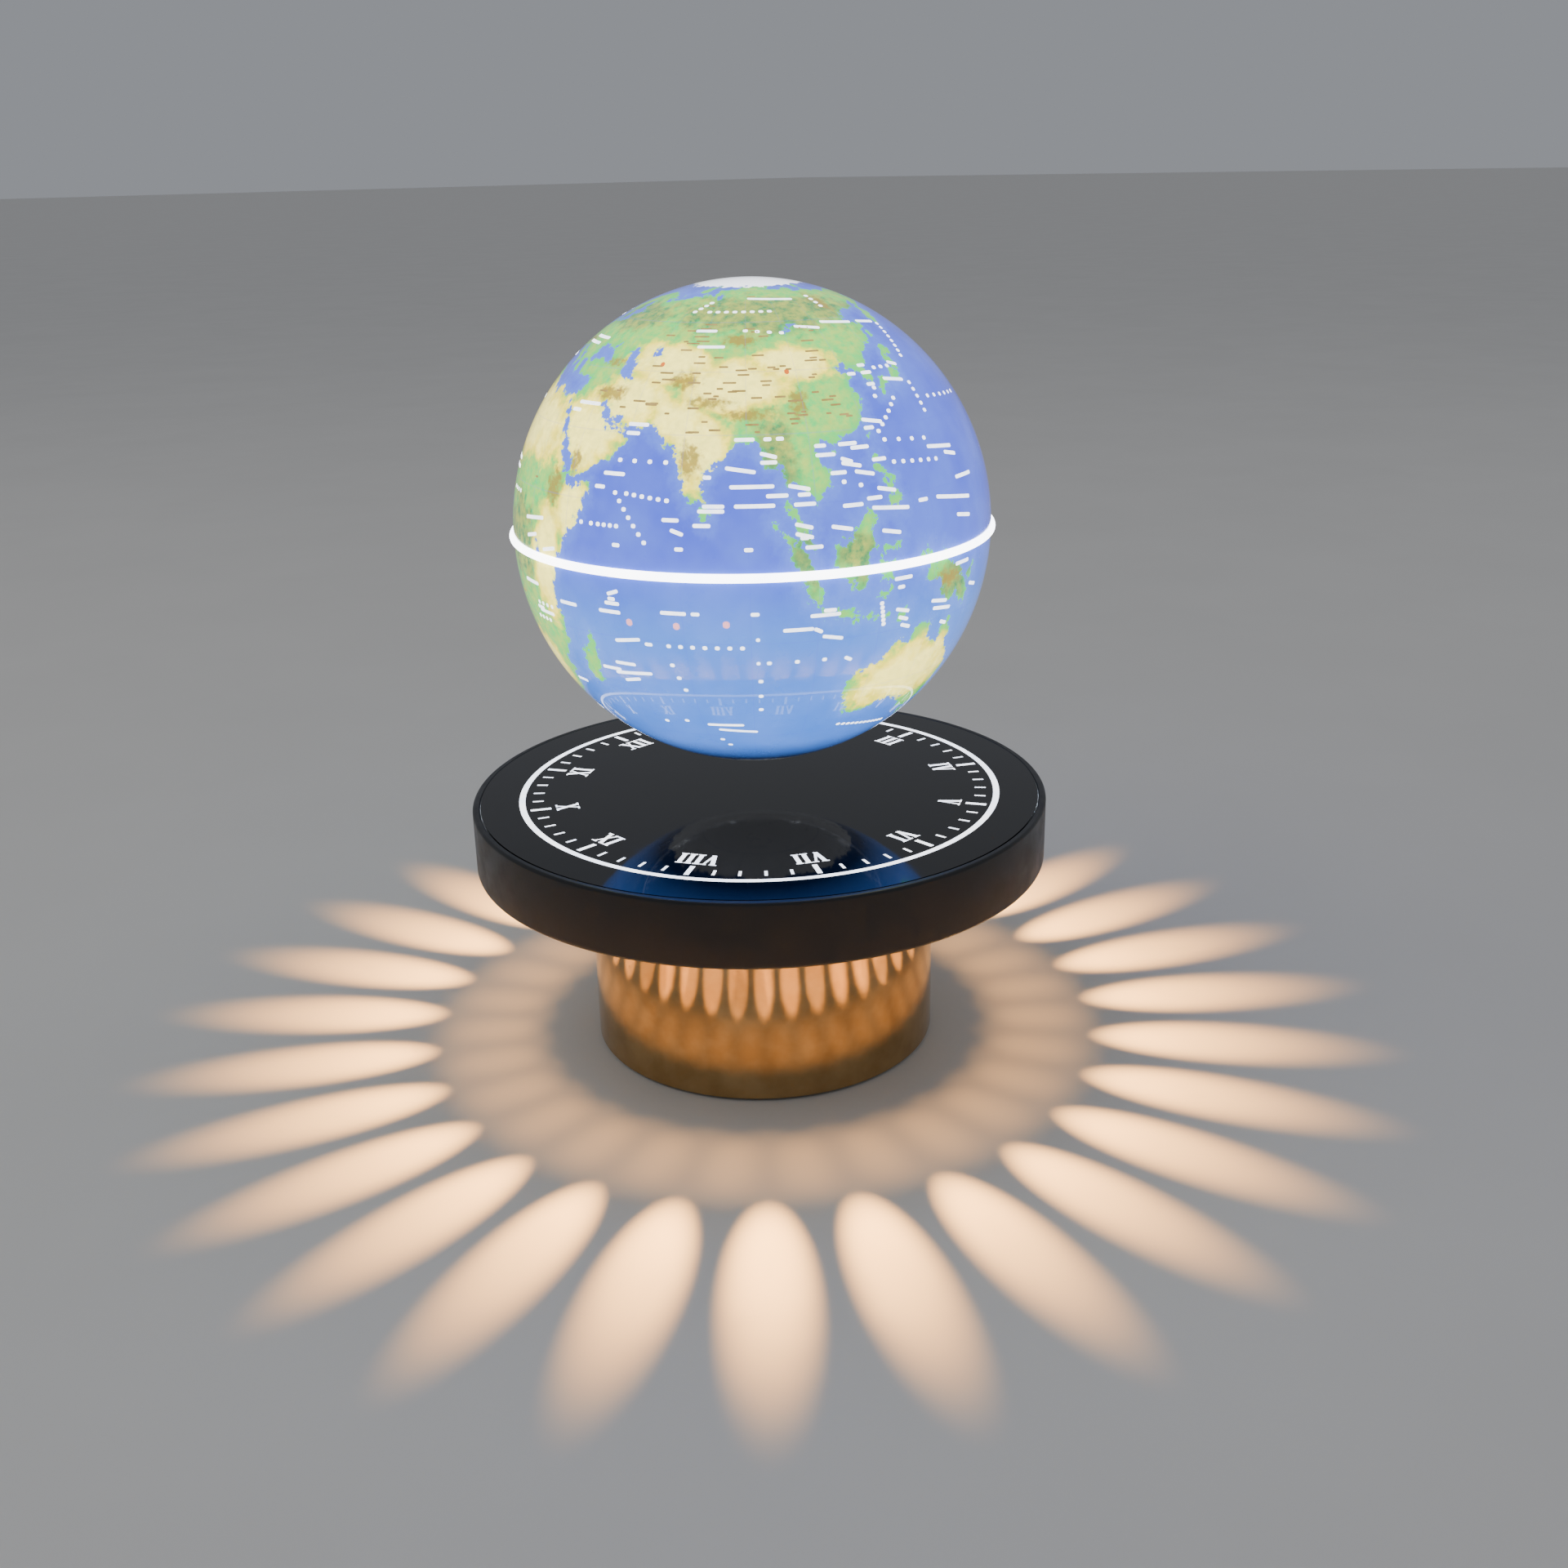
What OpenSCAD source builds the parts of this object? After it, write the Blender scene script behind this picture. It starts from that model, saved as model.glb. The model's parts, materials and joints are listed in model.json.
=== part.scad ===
// Levitating desktop globe over a lit clock-dial head on a polished drum stand.
// Millimetres. +Z is up and +Y points to twelve o'clock, at the rear, where the power
// inlet is. The origin is the centre of the footprint, on the surface it stands on.

/* [Globe] */
// Outside diameter of the ball
globe_d = 150; // [120:1:180]
// Wall of each half shell
globe_wall = 1.6; // [1.2:0.1:2.4]
// Height of the glowing half-round band at the equator
band_h = 2.6; // [2:0.1:4]
// Thickness of the band's web between the half shells
band_web = 0.8; // [0.6:0.1:1.2]
// Height of the inner flange that lines up the half shells
flange_h = 8; // [5:0.5:12]
// Wall of the inner flange
flange_t = 1.1; // [0.8:0.1:1.6]
// Air gap between the dial and the ball when it floats
float_gap = 13.8; // [10:0.1:18]

/* [Magnet pod] */
// Diameter of the levitation magnet
magnet_d = 44; // [36:1:54]
// Height of the levitation magnet
magnet_h = 8; // [6:0.5:10]
// Plastic left under the magnet and under the receiver coil
pod_floor = 0.8; // [0.6:0.1:1.2]
// Wall between the magnet pocket and the coil groove
pod_wall = 2; // [1.2:0.1:2.6]
// Width of the receiver coil's winding
rx_w = 6.5; // [4:0.5:8]
// Height of the receiver coil
rx_h = 2; // [1:0.1:2.5]
// Width of the pod's rim outside the coil groove, which takes the screws
pod_rim = 5; // [5:0.5:7]
// Thickness of the pod lid
lid_t = 1.5; // [1:0.1:2.5]
// Thickness of the circuit board in the ball
globe_board_t = 1.6; // [1:0.1:2]
// Outside diameter of the opal dome over the ball's lamps
dome_d = 44; // [36:1:46]
// Wall of the opal dome
dome_wall = 1.2; // [0.8:0.1:2]
// Number of lamps under the dome
globe_led_count = 6; // [3:1:8]

/* [Head] */
// Outside diameter of the head
head_d = 190; // [156:1:230]
// Height of the head
head_h = 21; // [17:0.5:26]
// Wall of the head's rim beside the dial
rim_wall = 2.4; // [1.6:0.1:3.5]
// Radius on the outer edges of the rim
rim_round = 1; // [0.4:0.1:1.5]
// Width of the ledge that carries the dial
ledge_w = 2.8; // [2:0.1:4]
// Thickness of the head's floor
floor_t = 2; // [1.6:0.1:3]
// Thickness of the black dial mask
mask_t = 1.2; // [0.8:0.1:2]
// Thickness of the light guide under the mask
guide_t = 2.3; // [1.5:0.1:3]
// Number of light windows in the head's floor
window_count = 27; // [12:1:27]
// Length of each light window along the radius
window_len = 12.5; // [10:0.5:14]
// Width of each light window
window_w = 4.6; // [3:0.1:6]
// Distance from the windows to the ledge
window_edge = 1.8; // [1:0.1:3]
// Thickness of the clear ring over the windows
lens_t = 1.5; // [1:0.1:2]

/* [Dial] */
// Distance from the dial's edge to the hour ring
dial_border = 12.6; // [8:0.1:16]
// Width of the hour ring
ring_w = 2; // [1:0.1:3]
// Gap between the hour ring and the hour marks
hour_gap = 1.3; // [0.8:0.1:3]
// Length of an hour mark
hour_len = 6.7; // [5:0.1:8]
// Width of an hour mark
hour_w = 1.6; // [1:0.1:2.4]
// Length of a minute mark
minute_len = 3.6; // [2:0.1:5]
// Width of a minute mark
minute_w = 0.95; // [0.6:0.05:1.4]
// Height of the numerals
numeral_h = 7.5; // [5:0.1:9]
// Gap between the hour marks and the numerals
numeral_gap = 1.6; // [1:0.1:3]
// Width of a letter V or X
letter_w = 5; // [4:0.1:6]
// Width of a letter I, with its share of the spacing
letter_i_w = 2.7; // [2.4:0.1:3.4]
// Width of a thick stroke
stroke_w = 1.45; // [1:0.05:1.8]
// Width of a thin stroke
hair_w = 0.8; // [0.5:0.05:1.2]
// Height of a serif
serif_h = 0.6; // [0.4:0.05:1]

/* [Magnets and coils] */
// Distance from the windows to the wall that carries the lamps
led_reach = 10.5; // [9:0.5:12]
// Wall of the lamp carrier
carrier_t = 1.5; // [1:0.1:2.5]
// Air between the lamp carrier and the ring magnet
magnet_air = 5.5; // [4:0.5:10]
// Radial width of the ring magnet
ring_magnet_w = 20; // [14:0.5:21]
// Thickness of the steel yoke plate
yoke_t = 1; // [0.8:0.1:2]
// Radial width of the transmitter coil
tx_w = 22; // [12:0.5:24]
// Height of the transmitter coil
tx_h = 1.2; // [0.8:0.1:1.6]
// Gap between the lift coils and to the ring magnet
coil_gap = 1; // [0.6:0.1:2]
// Diameter of each lift coil's steel core
core_d = 8; // [6:0.5:9]
// Wall of the coil bobbins
bobbin_wall = 1; // [0.8:0.1:1.4]
// Thickness of the sensor board
sensor_board_t = 1; // [0.8:0.1:1.6]

/* [Drum] */
// Outside diameter of the drum
drum_d = 116; // [96:1:140]
// Height from the table to the underside of the head
drum_h = 65.5; // [54:0.5:90]
// Wall of the drum sleeve
drum_wall = 1.5; // [1:0.1:2.5]
// Height of the drum sleeve's lower edge above the table
drum_lift = 1; // [0.5:0.1:2]
// Depth of the base plate inside the sleeve's lower edge
base_inset = 1; // [0.5:0.1:2]
// Thickness of the base plate
base_t = 3; // [3:0.1:5]
// Height of the ring in the sleeve that the base plate seats against
seat_h = 2.5; // [2:0.1:4]
// Diameter of the posts that tie the head to the base
post_d = 8; // [7:0.5:10]
// Gap between the posts and the sleeve
post_gap = 4.5; // [4:0.1:8]
// Thickness of the ballast disc
ballast_t = 10; // [4:0.5:11]
// Diameter of the rubber feet
foot_d = 12; // [8:0.5:14]
// Depth of each foot's recess in the base plate
foot_recess = 1; // [0.6:0.1:1.5]

/* [Electronics] */
// Height of the control board above the table
board_z = 30; // [28:0.5:34]
// Thickness of the control board
board_t = 1.6; // [1:0.1:2]
// Gap between the control board and the posts
board_gap = 1.5; // [1:0.1:4]

/* [Rear panel] */
// Width of the rear panel
panel_w = 40; // [36:0.5:44]
// Height of the rear panel
panel_h = 16; // [14:0.5:17]
// Height of the rear panel's centre above the table
panel_z = 20; // [19:0.5:21]
// Thickness of the rear panel
panel_t = 2.5; // [2:0.1:3]
// Sideways place of the power inlet
jack_x = -10; // [-11:0.5:-9]
// Bore of the power inlet
jack_bore = 6; // [5.6:0.1:6.4]
// Diameter of the inlet's centre pin
jack_pin_d = 2; // [1.6:0.1:2.5]
// Depth of the inlet's bore
jack_depth = 10; // [9:0.5:11]
// Sideways place of the lamp button
button_x = 11; // [10:0.5:12]
// Diameter of the lamp button
button_d = 8; // [6:0.5:9]
// How far the button stands out
button_proud = 1.5; // [1.3:0.1:2.5]
// Travel of the button
button_travel = 1.2; // [0.6:0.1:1.2]

/* [Hidden] */
$fn = 96;
eps = 0.01;

// Clearances
bond_gap = 0.1; // between pieces bonded together
seat_gap = 0.2; // between a piece and the seat that locates it
run_gap = 0.3; // between pieces that move past each other
button_gap = 0.25; // round the button in its guide
thread_gap = 0.05; // round a screw in its hole

// Levels, from the table up
sleeve_z0 = drum_lift;
base_z0 = drum_lift + base_inset;
base_z1 = base_z0 + base_t;
ballast_z1 = base_z1 + ballast_t;
board_z1 = board_z + board_t;
head_z0 = drum_h;
floor_z = head_z0 + floor_t;
dial_z = head_z0 + head_h;
mask_z0 = dial_z - mask_t;
guide_z0 = mask_z0 - guide_t;
tx_z0 = guide_z0 - seat_gap * 3 - tx_h;
yoke_z1 = floor_z + yoke_t;
magnet_z1 = tx_z0 - seat_gap * 2;
coil_z1 = magnet_z1 - sensor_board_t + seat_gap * 2;
globe_z = dial_z + float_gap + globe_d / 2;

// Head radii, from the rim inwards
head_r = head_d / 2;
rim_ri = head_r - rim_wall;
mask_r = rim_ri - seat_gap;
ledge_ri = rim_ri - ledge_w;
window_ro = ledge_ri - window_edge;
window_ri = window_ro - window_len;
tx_air = 4; // between the transmitter coil and the lamp carrier
carrier_ro = window_ri - led_reach;
carrier_ri = carrier_ro - carrier_t;
tx_ro = carrier_ri - tx_air;
ring_magnet_ro = carrier_ri - magnet_air;
ring_magnet_ri = ring_magnet_ro - ring_magnet_w;
lens_lap = 2; // how far the clear ring covers past the windows
strip_t = 0.3;
strip_edge = 0.5; // strip left above and below the lamps
led_size = [3.5, 1.4, 2.8];
carrier_air = 1; // between the lamp carrier and the light guide
carrier_z1 = guide_z0 - carrier_air;
led_z0 = carrier_z1 - strip_edge - led_size[2];

// Four equal coils fill the ring magnet's bore
coil_r = (ring_magnet_ri - coil_gap * (1 + 1 / sqrt(2))) / (1 + sqrt(2));
coil_orbit = ring_magnet_ri - coil_gap - coil_r;
winding_inset = 0.5; // between a winding and its bobbin's rim
loom_d = 4.8;
loom_hole_d = 11;
hall_size = [3, 3, 1];

// Dial radii, from the edge inwards
ring_ro = mask_r - dial_border;
ring_ri = ring_ro - ring_w;
hour_ro = ring_ri - hour_gap;
minute_shift = 0.45; // how far the minute marks sit outside the middle of the hour marks
minute_mid = hour_ro - hour_len / 2 + minute_shift;
numeral_ri = hour_ro - hour_len - numeral_gap - numeral_h;

// Drum radii
drum_r = drum_d / 2;
drum_ri = drum_r - drum_wall;
seat_w = 2.2;
spigot_w = 1.4;
spigot_h = 2.5;
post_orbit = drum_ri - post_gap - post_d / 2;
post_xy = post_orbit / sqrt(2);
foot_margin = 2; // between a foot's recess and the seat ring
foot_orbit = drum_ri - seat_w - foot_d / 2 - foot_margin;
board_half = post_xy - post_d / 2 - board_gap;
board_round = 3;
standoff_inset = 4; // from the board's edges to its corner screws
standoff_xy = board_half - standoff_inset;
standoff_d = 5.5;
board_screw_reach = 5;
loom_socket = [10, 6, 6];
panel_socket = [7, 5, 5];
panel_socket_y = board_half * 0.5;

// Ball radii, and the pod inside it. Pod levels count from the ball's centre.
globe_r = globe_d / 2;
globe_ri = globe_r - globe_wall;
pod_ball_r = globe_ri - bond_gap;
pocket_r = magnet_d / 2 + run_gap;
groove_ri = pocket_r + pod_wall;
groove_ro = groove_ri + rx_w + bond_gap * 2;
pod_r = groove_ro + pod_rim;
pod_screw_r = groove_ro + pod_rim / 2;
function ball_level(r) = -sqrt(pod_ball_r * pod_ball_r - r * r);
pocket_z0 = ball_level(pocket_r) + pod_floor;
pod_z1 = pocket_z0 + magnet_h + run_gap * 2;
rx_z0 = ball_level(groove_ro) + pod_floor;
lid_z1 = pod_z1 + lid_t;
globe_board_z1 = lid_z1 + globe_board_t;
globe_led_size = [3.5, 3.5, 1.2];
globe_led_inset = 8; // from the dome's rim to the middle of its lamps
globe_led_orbit = dome_d / 2 - globe_led_inset;
globe_part_r = (dome_d / 2 + pod_r) / 2;

// Rear panel
panel_recess = 0.4; // how far the panel's face sits below the sleeve's
panel_round = 3; // radius on the panel's corners
panel_ro = drum_r - panel_recess;
panel_ri = drum_ri - panel_t;
panel_lap = 3; // how far the panel's inside flange laps the sleeve
jack_nose_r = 4.6;
jack_face_y = sqrt(pow(panel_ro, 2) - pow(abs(jack_x) + jack_nose_r, 2));
jack_body = [9, 11, 11];
jack_back_t = 4; // plastic behind the inlet's bore
jack_back_y = jack_face_y - jack_depth - jack_back_t;
jack_pin_short = 1; // how far the pin stops below the inlet's mouth
button_r = button_d / 2;
button_flange_w = 1.2;
button_flange_r = button_r + button_flange_w;
button_flange_t = 1;
button_front_y = sqrt(pow(panel_ro, 2) - pow(button_x, 2)) + button_proud;
button_flange_y = sqrt(pow(panel_ri, 2) - pow(button_x + button_flange_r, 2)) - run_gap;
button_stem = 2.5;
button_stem_r = 2;
button_back_y = button_flange_y - button_flange_t - button_stem;
switch_body = [6, 3.5, 6];
switch_plunger_h = 1;
switch_plunger_r = 1.75;
switch_front_y = button_back_y - button_travel - bond_gap - switch_plunger_h;
switch_board_y = switch_front_y - switch_body[1];
switch_board_t = 1.2;
pillar_z = 8; // pillars that carry the switch board, above and below the button
pillar_r = 1.5;

// The ballast clears the posts and the back of the switch board
ballast_margin = 2;
ballast_r = min(post_orbit - post_d / 2, switch_board_y - switch_board_t) - ballast_margin;

// Screws: [shank radius, head radius, head height]
frame_screw = [1.5, 2.8, 1.6];
board_screw = [1.2, 2.4, 1.5];
pod_screw = [0.8, 2.0, 1.2];
frame_screw_reach = 8;

roman = ["XII", "I", "II", "III", "IV", "V", "VI", "VII", "VIII", "IX", "X", "XI"];

// ---------------------------------------------------------------- shapes used often

module ring(ro, ri, h) {
    difference() {
        cylinder(r = ro, h = h);
        translate([0, 0, -eps]) cylinder(r = ri, h = h + 2 * eps);
    }
}

module around(count, orbit, first = 0) {
    for (i = [0 : count - 1])
        rotate(first + i * 360 / count) translate([orbit, 0, 0]) children();
}

module rounded_rect(w, h, r) {
    square([w - 2 * r, h], center = true);
    square([w, h - 2 * r], center = true);
    for (x = [-1, 1], y = [-1, 1])
        translate([x * (w / 2 - r), y * (h / 2 - r)]) circle(r = r);
}

module box_on(size) {
    translate([-size[0] / 2, -size[1] / 2, 0]) cube(size);
}

// A rod along +Y from y0 to y1, at x and z
module rod_y(r, x, z, y0, y1) {
    translate([x, y0, z]) rotate([-90, 0, 0]) cylinder(r = r, h = y1 - y0);
}

// An upright outline in X and Z, pushed through the rear of the drum
module through_rear() {
    depth = 16;
    translate([0, drum_ri + depth / 2, panel_z])
        rotate([90, 0, 0]) linear_extrude(height = depth) children();
}

// Countersunk screw pointing up, its head's flat face at z = 0
module flat_screw(s, length) {
    cylinder(r1 = s[1], r2 = s[0], h = s[2]);
    cylinder(r = s[0], h = length);
}

// The hole that a countersunk screw sits in
module flat_screw_hole(s, length) {
    translate([0, 0, -eps])
        cylinder(r1 = s[1] + thread_gap + eps, r2 = s[0] + thread_gap, h = s[2] + eps);
    cylinder(r = s[0] + thread_gap, h = length);
}

// Pan-head screw pointing down, the underside of its head at z = 0
module pan_screw(s, length) {
    cylinder(r = s[1], h = s[2]);
    translate([0, 0, -length]) cylinder(r = s[0], h = length + eps);
}

module in_globe() {
    translate([0, 0, globe_z]) children();
}

// ---------------------------------------------------------------- the ball

module half_shell(cut) {
    difference() {
        sphere(r = globe_r);
        sphere(r = globe_ri);
        translate([0, 0, cut * (globe_d / 2 - band_web / 2)])
            cube([globe_d + 2, globe_d + 2, globe_d], center = true);
    }
}

module globe_north_shell() {
    color("cornflowerblue") in_globe() half_shell(-1);
}

module globe_south_shell() {
    color("royalblue") in_globe() half_shell(1);
}

// Half-round bead outside, web between the shells, flange inside both
module equator_band() {
    flange_ro = sqrt(pow(globe_ri, 2) - pow(flange_h / 2, 2)) - seat_gap;
    color("white") in_globe() rotate_extrude() {
        intersection() {
            translate([globe_r, 0]) circle(d = band_h);
            translate([globe_r, -band_h]) square([band_h, 2 * band_h]);
        }
        translate([flange_ro - flange_t / 2, -band_web / 2])
            square([globe_r + eps - flange_ro + flange_t / 2, band_web]);
        translate([flange_ro - flange_t, -flange_h / 2]) square([flange_t, flange_h]);
    }
}

// ---------------------------------------------------------------- the magnet pod

module pod_cup() {
    screw_floor = ball_level(pod_screw_r + pod_screw[0]) + pod_floor;
    color("dimgray") in_globe() difference() {
        intersection() {
            sphere(r = pod_ball_r);
            translate([0, 0, -globe_r]) cylinder(r = pod_r, h = globe_r + pod_z1);
        }
        translate([0, 0, pocket_z0]) cylinder(r = pocket_r, h = magnet_h * 2);
        translate([0, 0, rx_z0 - bond_gap]) ring(groove_ro, groove_ri, globe_r);
        around(3, pod_screw_r, 90)
            translate([0, 0, screw_floor]) cylinder(r = pod_screw[0] + thread_gap, h = globe_r);
    }
}

module pod_lid() {
    color("gray") in_globe() translate([0, 0, pod_z1]) difference() {
        cylinder(r = pod_r, h = lid_t);
        around(3, pod_screw_r, 90) translate([0, 0, -eps])
            cylinder(r = pod_screw[0] + thread_gap, h = lid_t + 2 * eps);
    }
}

module pod_screws() {
    grip = lid_t + globe_board_t;
    depth = pod_z1 - ball_level(pod_screw_r + pod_screw[0]) - pod_floor - bond_gap;
    color("silver") in_globe() around(3, pod_screw_r, 90)
        translate([0, 0, globe_board_z1]) pan_screw(pod_screw, grip + depth);
}

module receiver_coil() {
    color("peru") in_globe() translate([0, 0, rx_z0])
        ring(groove_ro - bond_gap, groove_ri + bond_gap, rx_h);
}

module globe_board() {
    color("seagreen") in_globe() translate([0, 0, lid_z1]) difference() {
        cylinder(r = pod_r, h = globe_board_t);
        around(3, pod_screw_r, 90) translate([0, 0, -eps])
            cylinder(r = pod_screw[0] + thread_gap, h = globe_board_t + 2 * eps);
    }
}

module on_globe_board() {
    in_globe() translate([0, 0, globe_board_z1]) children();
}

module globe_leds() {
    color("lightyellow") on_globe_board()
        around(globe_led_count, globe_led_orbit) box_on(globe_led_size);
}

module rectifier_chip() {
    color("black") on_globe_board() rotate(30) translate([globe_part_r, 0, 0]) box_on([5, 6, 1.2]);
}

module globe_capacitor() {
    color("lightgray") on_globe_board() rotate(150) translate([globe_part_r, 0, 0]) {
        cylinder(d = 6.2, h = 1);
        cylinder(d = 5.6, h = 7.5);
    }
}

module globe_choke() {
    color("saddlebrown") on_globe_board() rotate(270) translate([globe_part_r, 0, 0])
        box_on([6, 6, 3]);
}

// Opal half ball over the lamps
module lamp_dome() {
    color("white") on_globe_board() difference() {
        sphere(d = dome_d);
        sphere(r = dome_d / 2 - dome_wall);
        translate([0, 0, -dome_d / 2 - 1]) cube(dome_d + 2, center = true);
    }
}

module levitation_magnet() {
    color("silver") in_globe() translate([0, 0, pocket_z0 + run_gap])
        cylinder(d = magnet_d, h = magnet_h);
}

// ---------------------------------------------------------------- the head

module window_outline() {
    translate([window_ri + window_w / 2, -window_w / 2])
        square([window_len - window_w, window_w]);
    for (r = [window_ri + window_w / 2, window_ro - window_w / 2])
        translate([r, 0]) circle(d = window_w);
}

module head_tray() {
    color([0.07, 0.07, 0.08]) difference() {
        union() {
            rotate_extrude() difference() {
                union() {
                    translate([0, head_z0]) square([head_r - rim_round, head_h]);
                    translate([0, head_z0 + rim_round]) square([head_r, head_h - 2 * rim_round]);
                    for (z = [head_z0 + rim_round, dial_z - rim_round])
                        translate([head_r - rim_round, z]) circle(r = rim_round);
                }
                translate([-eps, floor_z]) square([ledge_ri + eps, head_h]);
                translate([-eps, guide_z0]) square([rim_ri + eps, head_h]);
            }
            translate([0, 0, head_z0 - spigot_h])
                ring(drum_ri - seat_gap, drum_ri - seat_gap - spigot_w, spigot_h + eps);
        }
        translate([0, 0, head_z0 - eps]) {
            cylinder(d = loom_hole_d, h = floor_t + 2 * eps);
            for (i = [0 : window_count - 1]) rotate(i * 360 / window_count)
                linear_extrude(height = floor_t + 2 * eps) window_outline();
        }
        around(4, post_orbit, 45) translate([0, 0, floor_z])
            mirror([0, 0, 1]) flat_screw_hole(frame_screw, floor_t + eps);
    }
}

module window_lens() {
    color([0.85, 0.9, 0.95]) translate([0, 0, floor_z])
        ring(ledge_ri - seat_gap, window_ri - lens_lap, lens_t);
}

// The lit marks, as flat outlines
module hour_marks_outline() {
    for (i = [0 : 11]) rotate(i * 30)
        translate([hour_ro - hour_len, -hour_w / 2]) square([hour_len, hour_w]);
}

module minute_marks_outline() {
    for (i = [0 : 59]) if (i % 5 != 0) rotate(i * 6)
        translate([minute_mid - minute_len / 2, -minute_w / 2]) square([minute_len, minute_w]);
}

module serif(x, w, top) {
    translate([x - w / 2, top ? numeral_h - serif_h : 0]) square([w, serif_h]);
}

// A stroke from x0 at the baseline to x1 at the top, w wide along the line
module stroke(x0, x1, w) {
    polygon([[x0 - w / 2, 0], [x0 + w / 2, 0], [x1 + w / 2, numeral_h], [x1 - w / 2, numeral_h]]);
}

module letter(c) {
    side = stroke_w * 0.62;
    foot = stroke_w + 0.9;
    if (c == "I") {
        stroke(letter_i_w / 2, letter_i_w / 2, stroke_w);
        serif(letter_i_w / 2, foot, false);
        serif(letter_i_w / 2, foot, true);
    }
    if (c == "V") {
        stroke(letter_w * 0.52, side + 0.2, stroke_w);
        stroke(letter_w * 0.52, letter_w - side, hair_w);
        serif(side + 0.2, foot, true);
        serif(letter_w - side, foot * 0.8, true);
    }
    if (c == "X") {
        stroke(letter_w - side, side, stroke_w);
        stroke(side, letter_w - side, hair_w);
        for (top = [false, true]) {
            serif(side, foot * 0.9, top);
            serif(letter_w - side, foot * 0.9, top);
        }
    }
}

function advance(c) = c == "I" ? letter_i_w : letter_w;
function run_length(s, k) = k == 0 ? 0 : run_length(s, k - 1) + advance(s[k - 1]);

module numerals_outline() {
    for (i = [0 : 11]) rotate(-i * 30)
        for (k = [0 : len(roman[i]) - 1])
            translate([run_length(roman[i], k) - run_length(roman[i], len(roman[i])) / 2, numeral_ri])
                letter(roman[i][k]);
}

module lit(h = mask_t) {
    translate([0, 0, mask_z0]) linear_extrude(height = h) children();
}

module dial_face() {
    color([0.03, 0.03, 0.035]) lit() difference() {
        circle(r = ring_ri);
        hour_marks_outline();
        minute_marks_outline();
        numerals_outline();
    }
}

module dial_border_ring() {
    color([0.03, 0.03, 0.035]) translate([0, 0, mask_z0]) ring(mask_r, ring_ro, mask_t);
}

module hour_ring() {
    color("white") translate([0, 0, mask_z0]) ring(ring_ro, ring_ri, mask_t);
}

module hour_marks() {
    color("white") lit() hour_marks_outline();
}

module minute_marks() {
    color("white") lit() minute_marks_outline();
}

module hour_numerals() {
    color("white") lit() numerals_outline();
}

module dial_light_guide() {
    color([0.9, 0.95, 0.98]) translate([0, 0, guide_z0]) cylinder(r = mask_r, h = guide_t);
}

// ---------------------------------------------------------------- magnets and coils

module transmitter_coil() {
    color("peru") translate([0, 0, tx_z0]) ring(tx_ro, tx_ro - tx_w, tx_h);
}

module ring_magnet() {
    color([0.25, 0.25, 0.27]) translate([0, 0, yoke_z1])
        ring(ring_magnet_ro, ring_magnet_ri, magnet_z1 - yoke_z1);
}

module yoke_plate() {
    color("silver") translate([0, 0, floor_z]) ring(ring_magnet_ro, loom_hole_d / 2, yoke_t);
}

module coil_bobbins() {
    tube_r = core_d / 2 + bobbin_wall;
    color("ivory") around(4, coil_orbit, 45) translate([0, 0, yoke_z1]) difference() {
        union() {
            cylinder(r = coil_r, h = bobbin_wall);
            cylinder(r = tube_r, h = coil_z1 - yoke_z1);
            translate([0, 0, coil_z1 - yoke_z1 - bobbin_wall]) cylinder(r = coil_r, h = bobbin_wall);
        }
        translate([0, 0, -eps]) cylinder(d = core_d + bond_gap, h = coil_z1 - yoke_z1 + 2 * eps);
    }
}

module coil_windings() {
    tube_r = core_d / 2 + bobbin_wall;
    winding_r = coil_r - winding_inset;
    color("chocolate") around(4, coil_orbit, 45) translate([0, 0, yoke_z1 + bobbin_wall])
        ring(winding_r, tube_r + bond_gap / 2, coil_z1 - yoke_z1 - 2 * bobbin_wall);
}

module coil_cores() {
    color("darkgray") around(4, coil_orbit, 45) translate([0, 0, yoke_z1])
        cylinder(d = core_d, h = coil_z1 - yoke_z1);
}

module sensor_board() {
    color("seagreen") translate([0, 0, coil_z1])
        cylinder(r = ring_magnet_ri - coil_gap, h = sensor_board_t);
}

module hall_sensors() {
    color("black") around(4, coil_orbit / 2) translate([0, 0, coil_z1 + sensor_board_t])
        box_on(hall_size);
}

module led_carrier() {
    color("whitesmoke") translate([0, 0, floor_z]) ring(carrier_ro, carrier_ri, carrier_z1 - floor_z);
}

module led_strip() {
    strip_h = led_size[2] + 2 * strip_edge;
    color("white") translate([0, 0, carrier_z1 - strip_h])
        ring(carrier_ro + strip_t, carrier_ro, strip_h);
}

module led_chips() {
    color("lightyellow") around(window_count, carrier_ro + strip_t)
        translate([0, -led_size[0] / 2, led_z0])
            cube([led_size[1], led_size[0], led_size[2]]);
}

module head_screws() {
    color("silver") around(4, post_orbit, 45) translate([0, 0, floor_z])
        mirror([0, 0, 1]) flat_screw(frame_screw, floor_t + frame_screw_reach);
}

// ---------------------------------------------------------------- the drum

module drum_sleeve() {
    color("gold") difference() {
        translate([0, 0, sleeve_z0]) ring(drum_r, drum_ri, head_z0 - sleeve_z0);
        through_rear() rounded_rect(panel_w, panel_h, panel_round);
    }
}

module seat_ring() {
    color("goldenrod") translate([0, 0, base_z1])
        ring(drum_ri - bond_gap / 2, drum_ri - seat_w, seat_h);
}

module tie_posts() {
    bore_depth = frame_screw_reach + 1;
    color("darkkhaki") around(4, post_orbit, 45) difference() {
        translate([0, 0, base_z1]) cylinder(d = post_d, h = head_z0 - base_z1);
        for (z = [base_z1 - 1, head_z0 - bore_depth])
            translate([0, 0, z]) cylinder(r = frame_screw[0] + thread_gap, h = bore_depth + 1);
    }
}

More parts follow.
